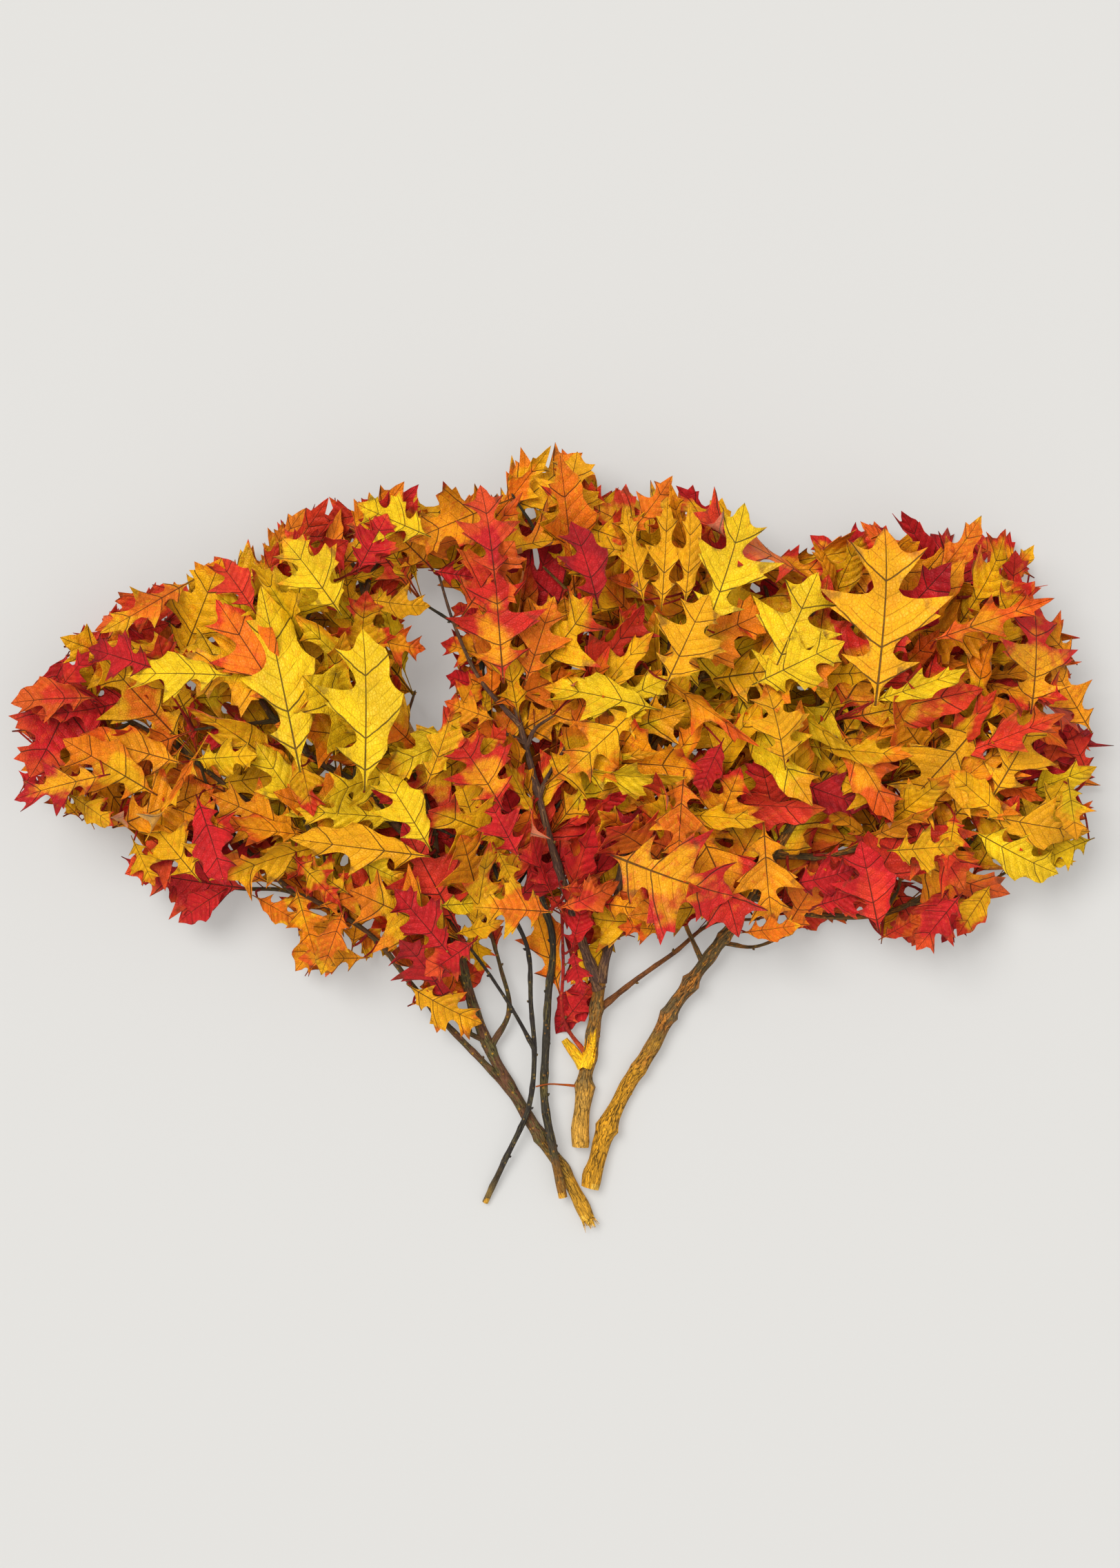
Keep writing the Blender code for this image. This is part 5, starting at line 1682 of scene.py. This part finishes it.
def buds_on(node, limbs):
    placings = []
    for name, (route, radii, bare) in limbs.items():
        draw = random.Random("buds-" + name)
        way = (route[-1] - route[-2]).normalized()
        placings.append((route[-1] - way * BUD_SUNK, way, draw.uniform(*BUD_LONG), radii[-1] * 0.95, 0.0))
        for k in range(1, len(route) - 1):
            way = (route[k + 1] - route[k - 1]).normalized()
            side = way.cross(UP).normalized() * draw.choice((-1, 1))
            out = (side + Vector((0, 0, draw.uniform(-0.1, 0.7)))).normalized()
            base = route[k] + out * radii[k] * 0.7
            placings.append((base, out * 0.8 + way * 0.7, draw.uniform(*BUD_LONG),
                             min(BUD_THICKEST, 0.8 + radii[k] * 0.12), 0.0))
    return copies(f"{node}_buds", bud_shape, placings, woods[OWN_WOOD[node]])


def frayed_end(route, radius):
    """Splinters fanned out round a snapped end."""
    draw = random.Random("frayed")
    out = (route[0] - route[1]).normalized()
    across, upward = sides_of(out)
    placings = []
    for k in range(FRAYED_SPLINTERS):
        turn = 2 * math.pi * k / FRAYED_SPLINTERS
        ring = math.cos(turn) * across + abs(math.sin(turn)) * upward
        base = route[0] + ring * radius * draw.uniform(0.35, 0.85) - out * FRAYED_SUNK
        way = out + ring * draw.uniform(-0.05, 0.3)
        placings.append((base, way, draw.uniform(*SPLINTER_LONG) * FRAYED_SHORTER,
                         draw.uniform(1.1, 2.1), turn))
    return copies("frayed_end", splinter_shape, placings, woods["cut_wood"])


print("splinters at the frayed end:", FRAYED_SPLINTERS)

# %% [markdown]
# On the middle stem the red twig was ripped down, which left a V of bright torn wood. Two short
# tubes are its arms, and long splinters lie over them on the upper side of the stem.

# %% The torn heel
HEEL_SPLINTERS = 42
HEEL_BOTTOM = (26, -182)
HEEL_RIGHT = [(30, -173), (33, -161), (35, -150)]
HEEL_LEFT = [(20, -174), (14, -167), (10, -161)]
HEEL_LEFT_END = 8.0
HEEL_LIFT = 2.2
HEEL_THICK = (4.0, 2.4)
HEEL_LEFT_THICK = (HEEL_THICK[0], HEEL_THICK[1] * 1.15)
HEEL_LONG = (11.0, 18.0)
HEEL_LEFT_LONGER = 1.05
RIGHT_ARM = {"x": (25, 34), "y": (-181, -166), "lean": (0.14, 0.05), "rise": 0.06, "longer": 1.0}
LEFT_ARM = {"x": (20, 27), "y": (-183, -177), "lean": (-0.8, 0.15), "rise": 0.12,
            "longer": HEEL_LEFT_LONGER}


def top_of(limb, x, y):
    """The height of a limb's upper side over a place, or of its middle beside it."""
    route, radii, bare = limb
    near = min(range(len(route)), key=lambda k: (route[k].x - x) ** 2 + (route[k].y - y) ** 2)
    off = abs(x - route[near].x)
    return route[near].z + math.sqrt(max(radii[near] ** 2 - off ** 2, 0.0))


def heel_arms(stem):
    """The two arms of the torn wood, as flat courses that start on the stem's upper side."""
    start = top_of(stem, *HEEL_BOTTOM) - HEEL_LIFT
    right = [(x, y, top_of(stem, x, y) - HEEL_LIFT) for x, y in [HEEL_BOTTOM] + HEEL_RIGHT]
    left = [(x, y, start + (HEEL_LEFT_END - start) * k / len(HEEL_LEFT))
            for k, (x, y) in enumerate([HEEL_BOTTOM] + HEEL_LEFT)]
    return [(right, HEEL_THICK), (left, HEEL_LEFT_THICK)]


def torn_heel(stem):
    """The splinters of the torn wood, two on the right arm to each on the left one."""
    draw = random.Random("heel")
    placings = []
    for k in range(HEEL_SPLINTERS):
        arm = RIGHT_ARM if k % 3 else LEFT_ARM
        x = draw.uniform(*arm["x"])
        y = draw.uniform(*arm["y"])
        lean, spread = arm["lean"]
        way = Vector((lean + draw.gauss(0, spread), 1.0, arm["rise"]))
        long = draw.uniform(*HEEL_LONG) * arm["longer"]
        base = Vector((x, y, top_of(stem, x, y) + draw.uniform(-0.4, 0.5)))
        placings.append((base, way, long, draw.uniform(1.7, 2.9), draw.uniform(-0.4, 0.4)))
    return copies("torn_heel", splinter_shape, placings, woods["torn_wood"])


print("splinters of the torn heel:", HEEL_SPLINTERS)

# %% [markdown]
# All wood of a branch grew as one piece, so its limbs, buds and stalks are joined into one object
# that stands for the plain solid. The left stem has its frayed end, and the middle one its torn
# heel and a bare red petiole that reaches across to the dark stem.

# %% Make the wood of each branch
PETIOLE_COURSE = [(20, -198.5, 7), (8, -197, 12), (-5, -196.5, 13.6), (-13, -198.5, 12.6)]
PETIOLE_THICK = (0.8, 0.6)


def join(name, pieces):
    bpy.ops.object.select_all(action="DESELECT")
    for piece in pieces:
        piece.select_set(True)
    bpy.context.view_layer.objects.active = pieces[0]
    bpy.ops.object.join()
    pieces[0].name = name
    pieces[0].data.name = name
    return pieces[0]


def finishing_touches(node, limbs):
    made = [buds_on(node, limbs)]
    for k, course in enumerate(stalks[node]):
        made.append(roll_loose(f"{node}_stalk_{k}", course, STALK_THICK, TWIG_ROUND_SIDES, "bark_red"))
    if node == "branch_left":
        route, radii, bare = limbs["stem"]
        made.append(frayed_end(route, radii[0]))
    if node == "branch_middle":
        made.append(torn_heel(limbs["stem"]))
        for k, (course, thick) in enumerate(heel_arms(limbs["stem"])):
            made.append(roll_loose(f"{node}_heel_arm_{k}", course, thick, ROUND_SIDES, "torn_wood"))
        made.append(roll_loose(f"{node}_petiole", PETIOLE_COURSE, PETIOLE_THICK, TWIG_ROUND_SIDES,
                               "bark_red"))
    return made


for node, limbs in branches.items():
    rolled = []
    for name, (route, radii, bare) in limbs.items():
        sides = TWIG_ROUND_SIDES if "_twig_" in name else ROUND_SIDES
        rolled.append(roll_limb(f"{node}_{name}", route, radii, sides, name != "stem",
                                wood_of(node, name)))
    rolled += finishing_touches(node, limbs)
    wood = join(f"{node}_wood", rolled)
    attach(wood, "root")
    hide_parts(node)
    print(wood.name, "has", len(wood.data.polygons), "faces")

# %% [markdown]
# The leaves come last, one piece a branch, in the place of their branch's plain solid.

# %% Put the leaves on
for node, found in leaves.items():
    piece = branch_leaves(node, found)
    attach(piece, "root")
    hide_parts(node)
    print(piece.name, "has", len(piece.data.polygons), "faces")
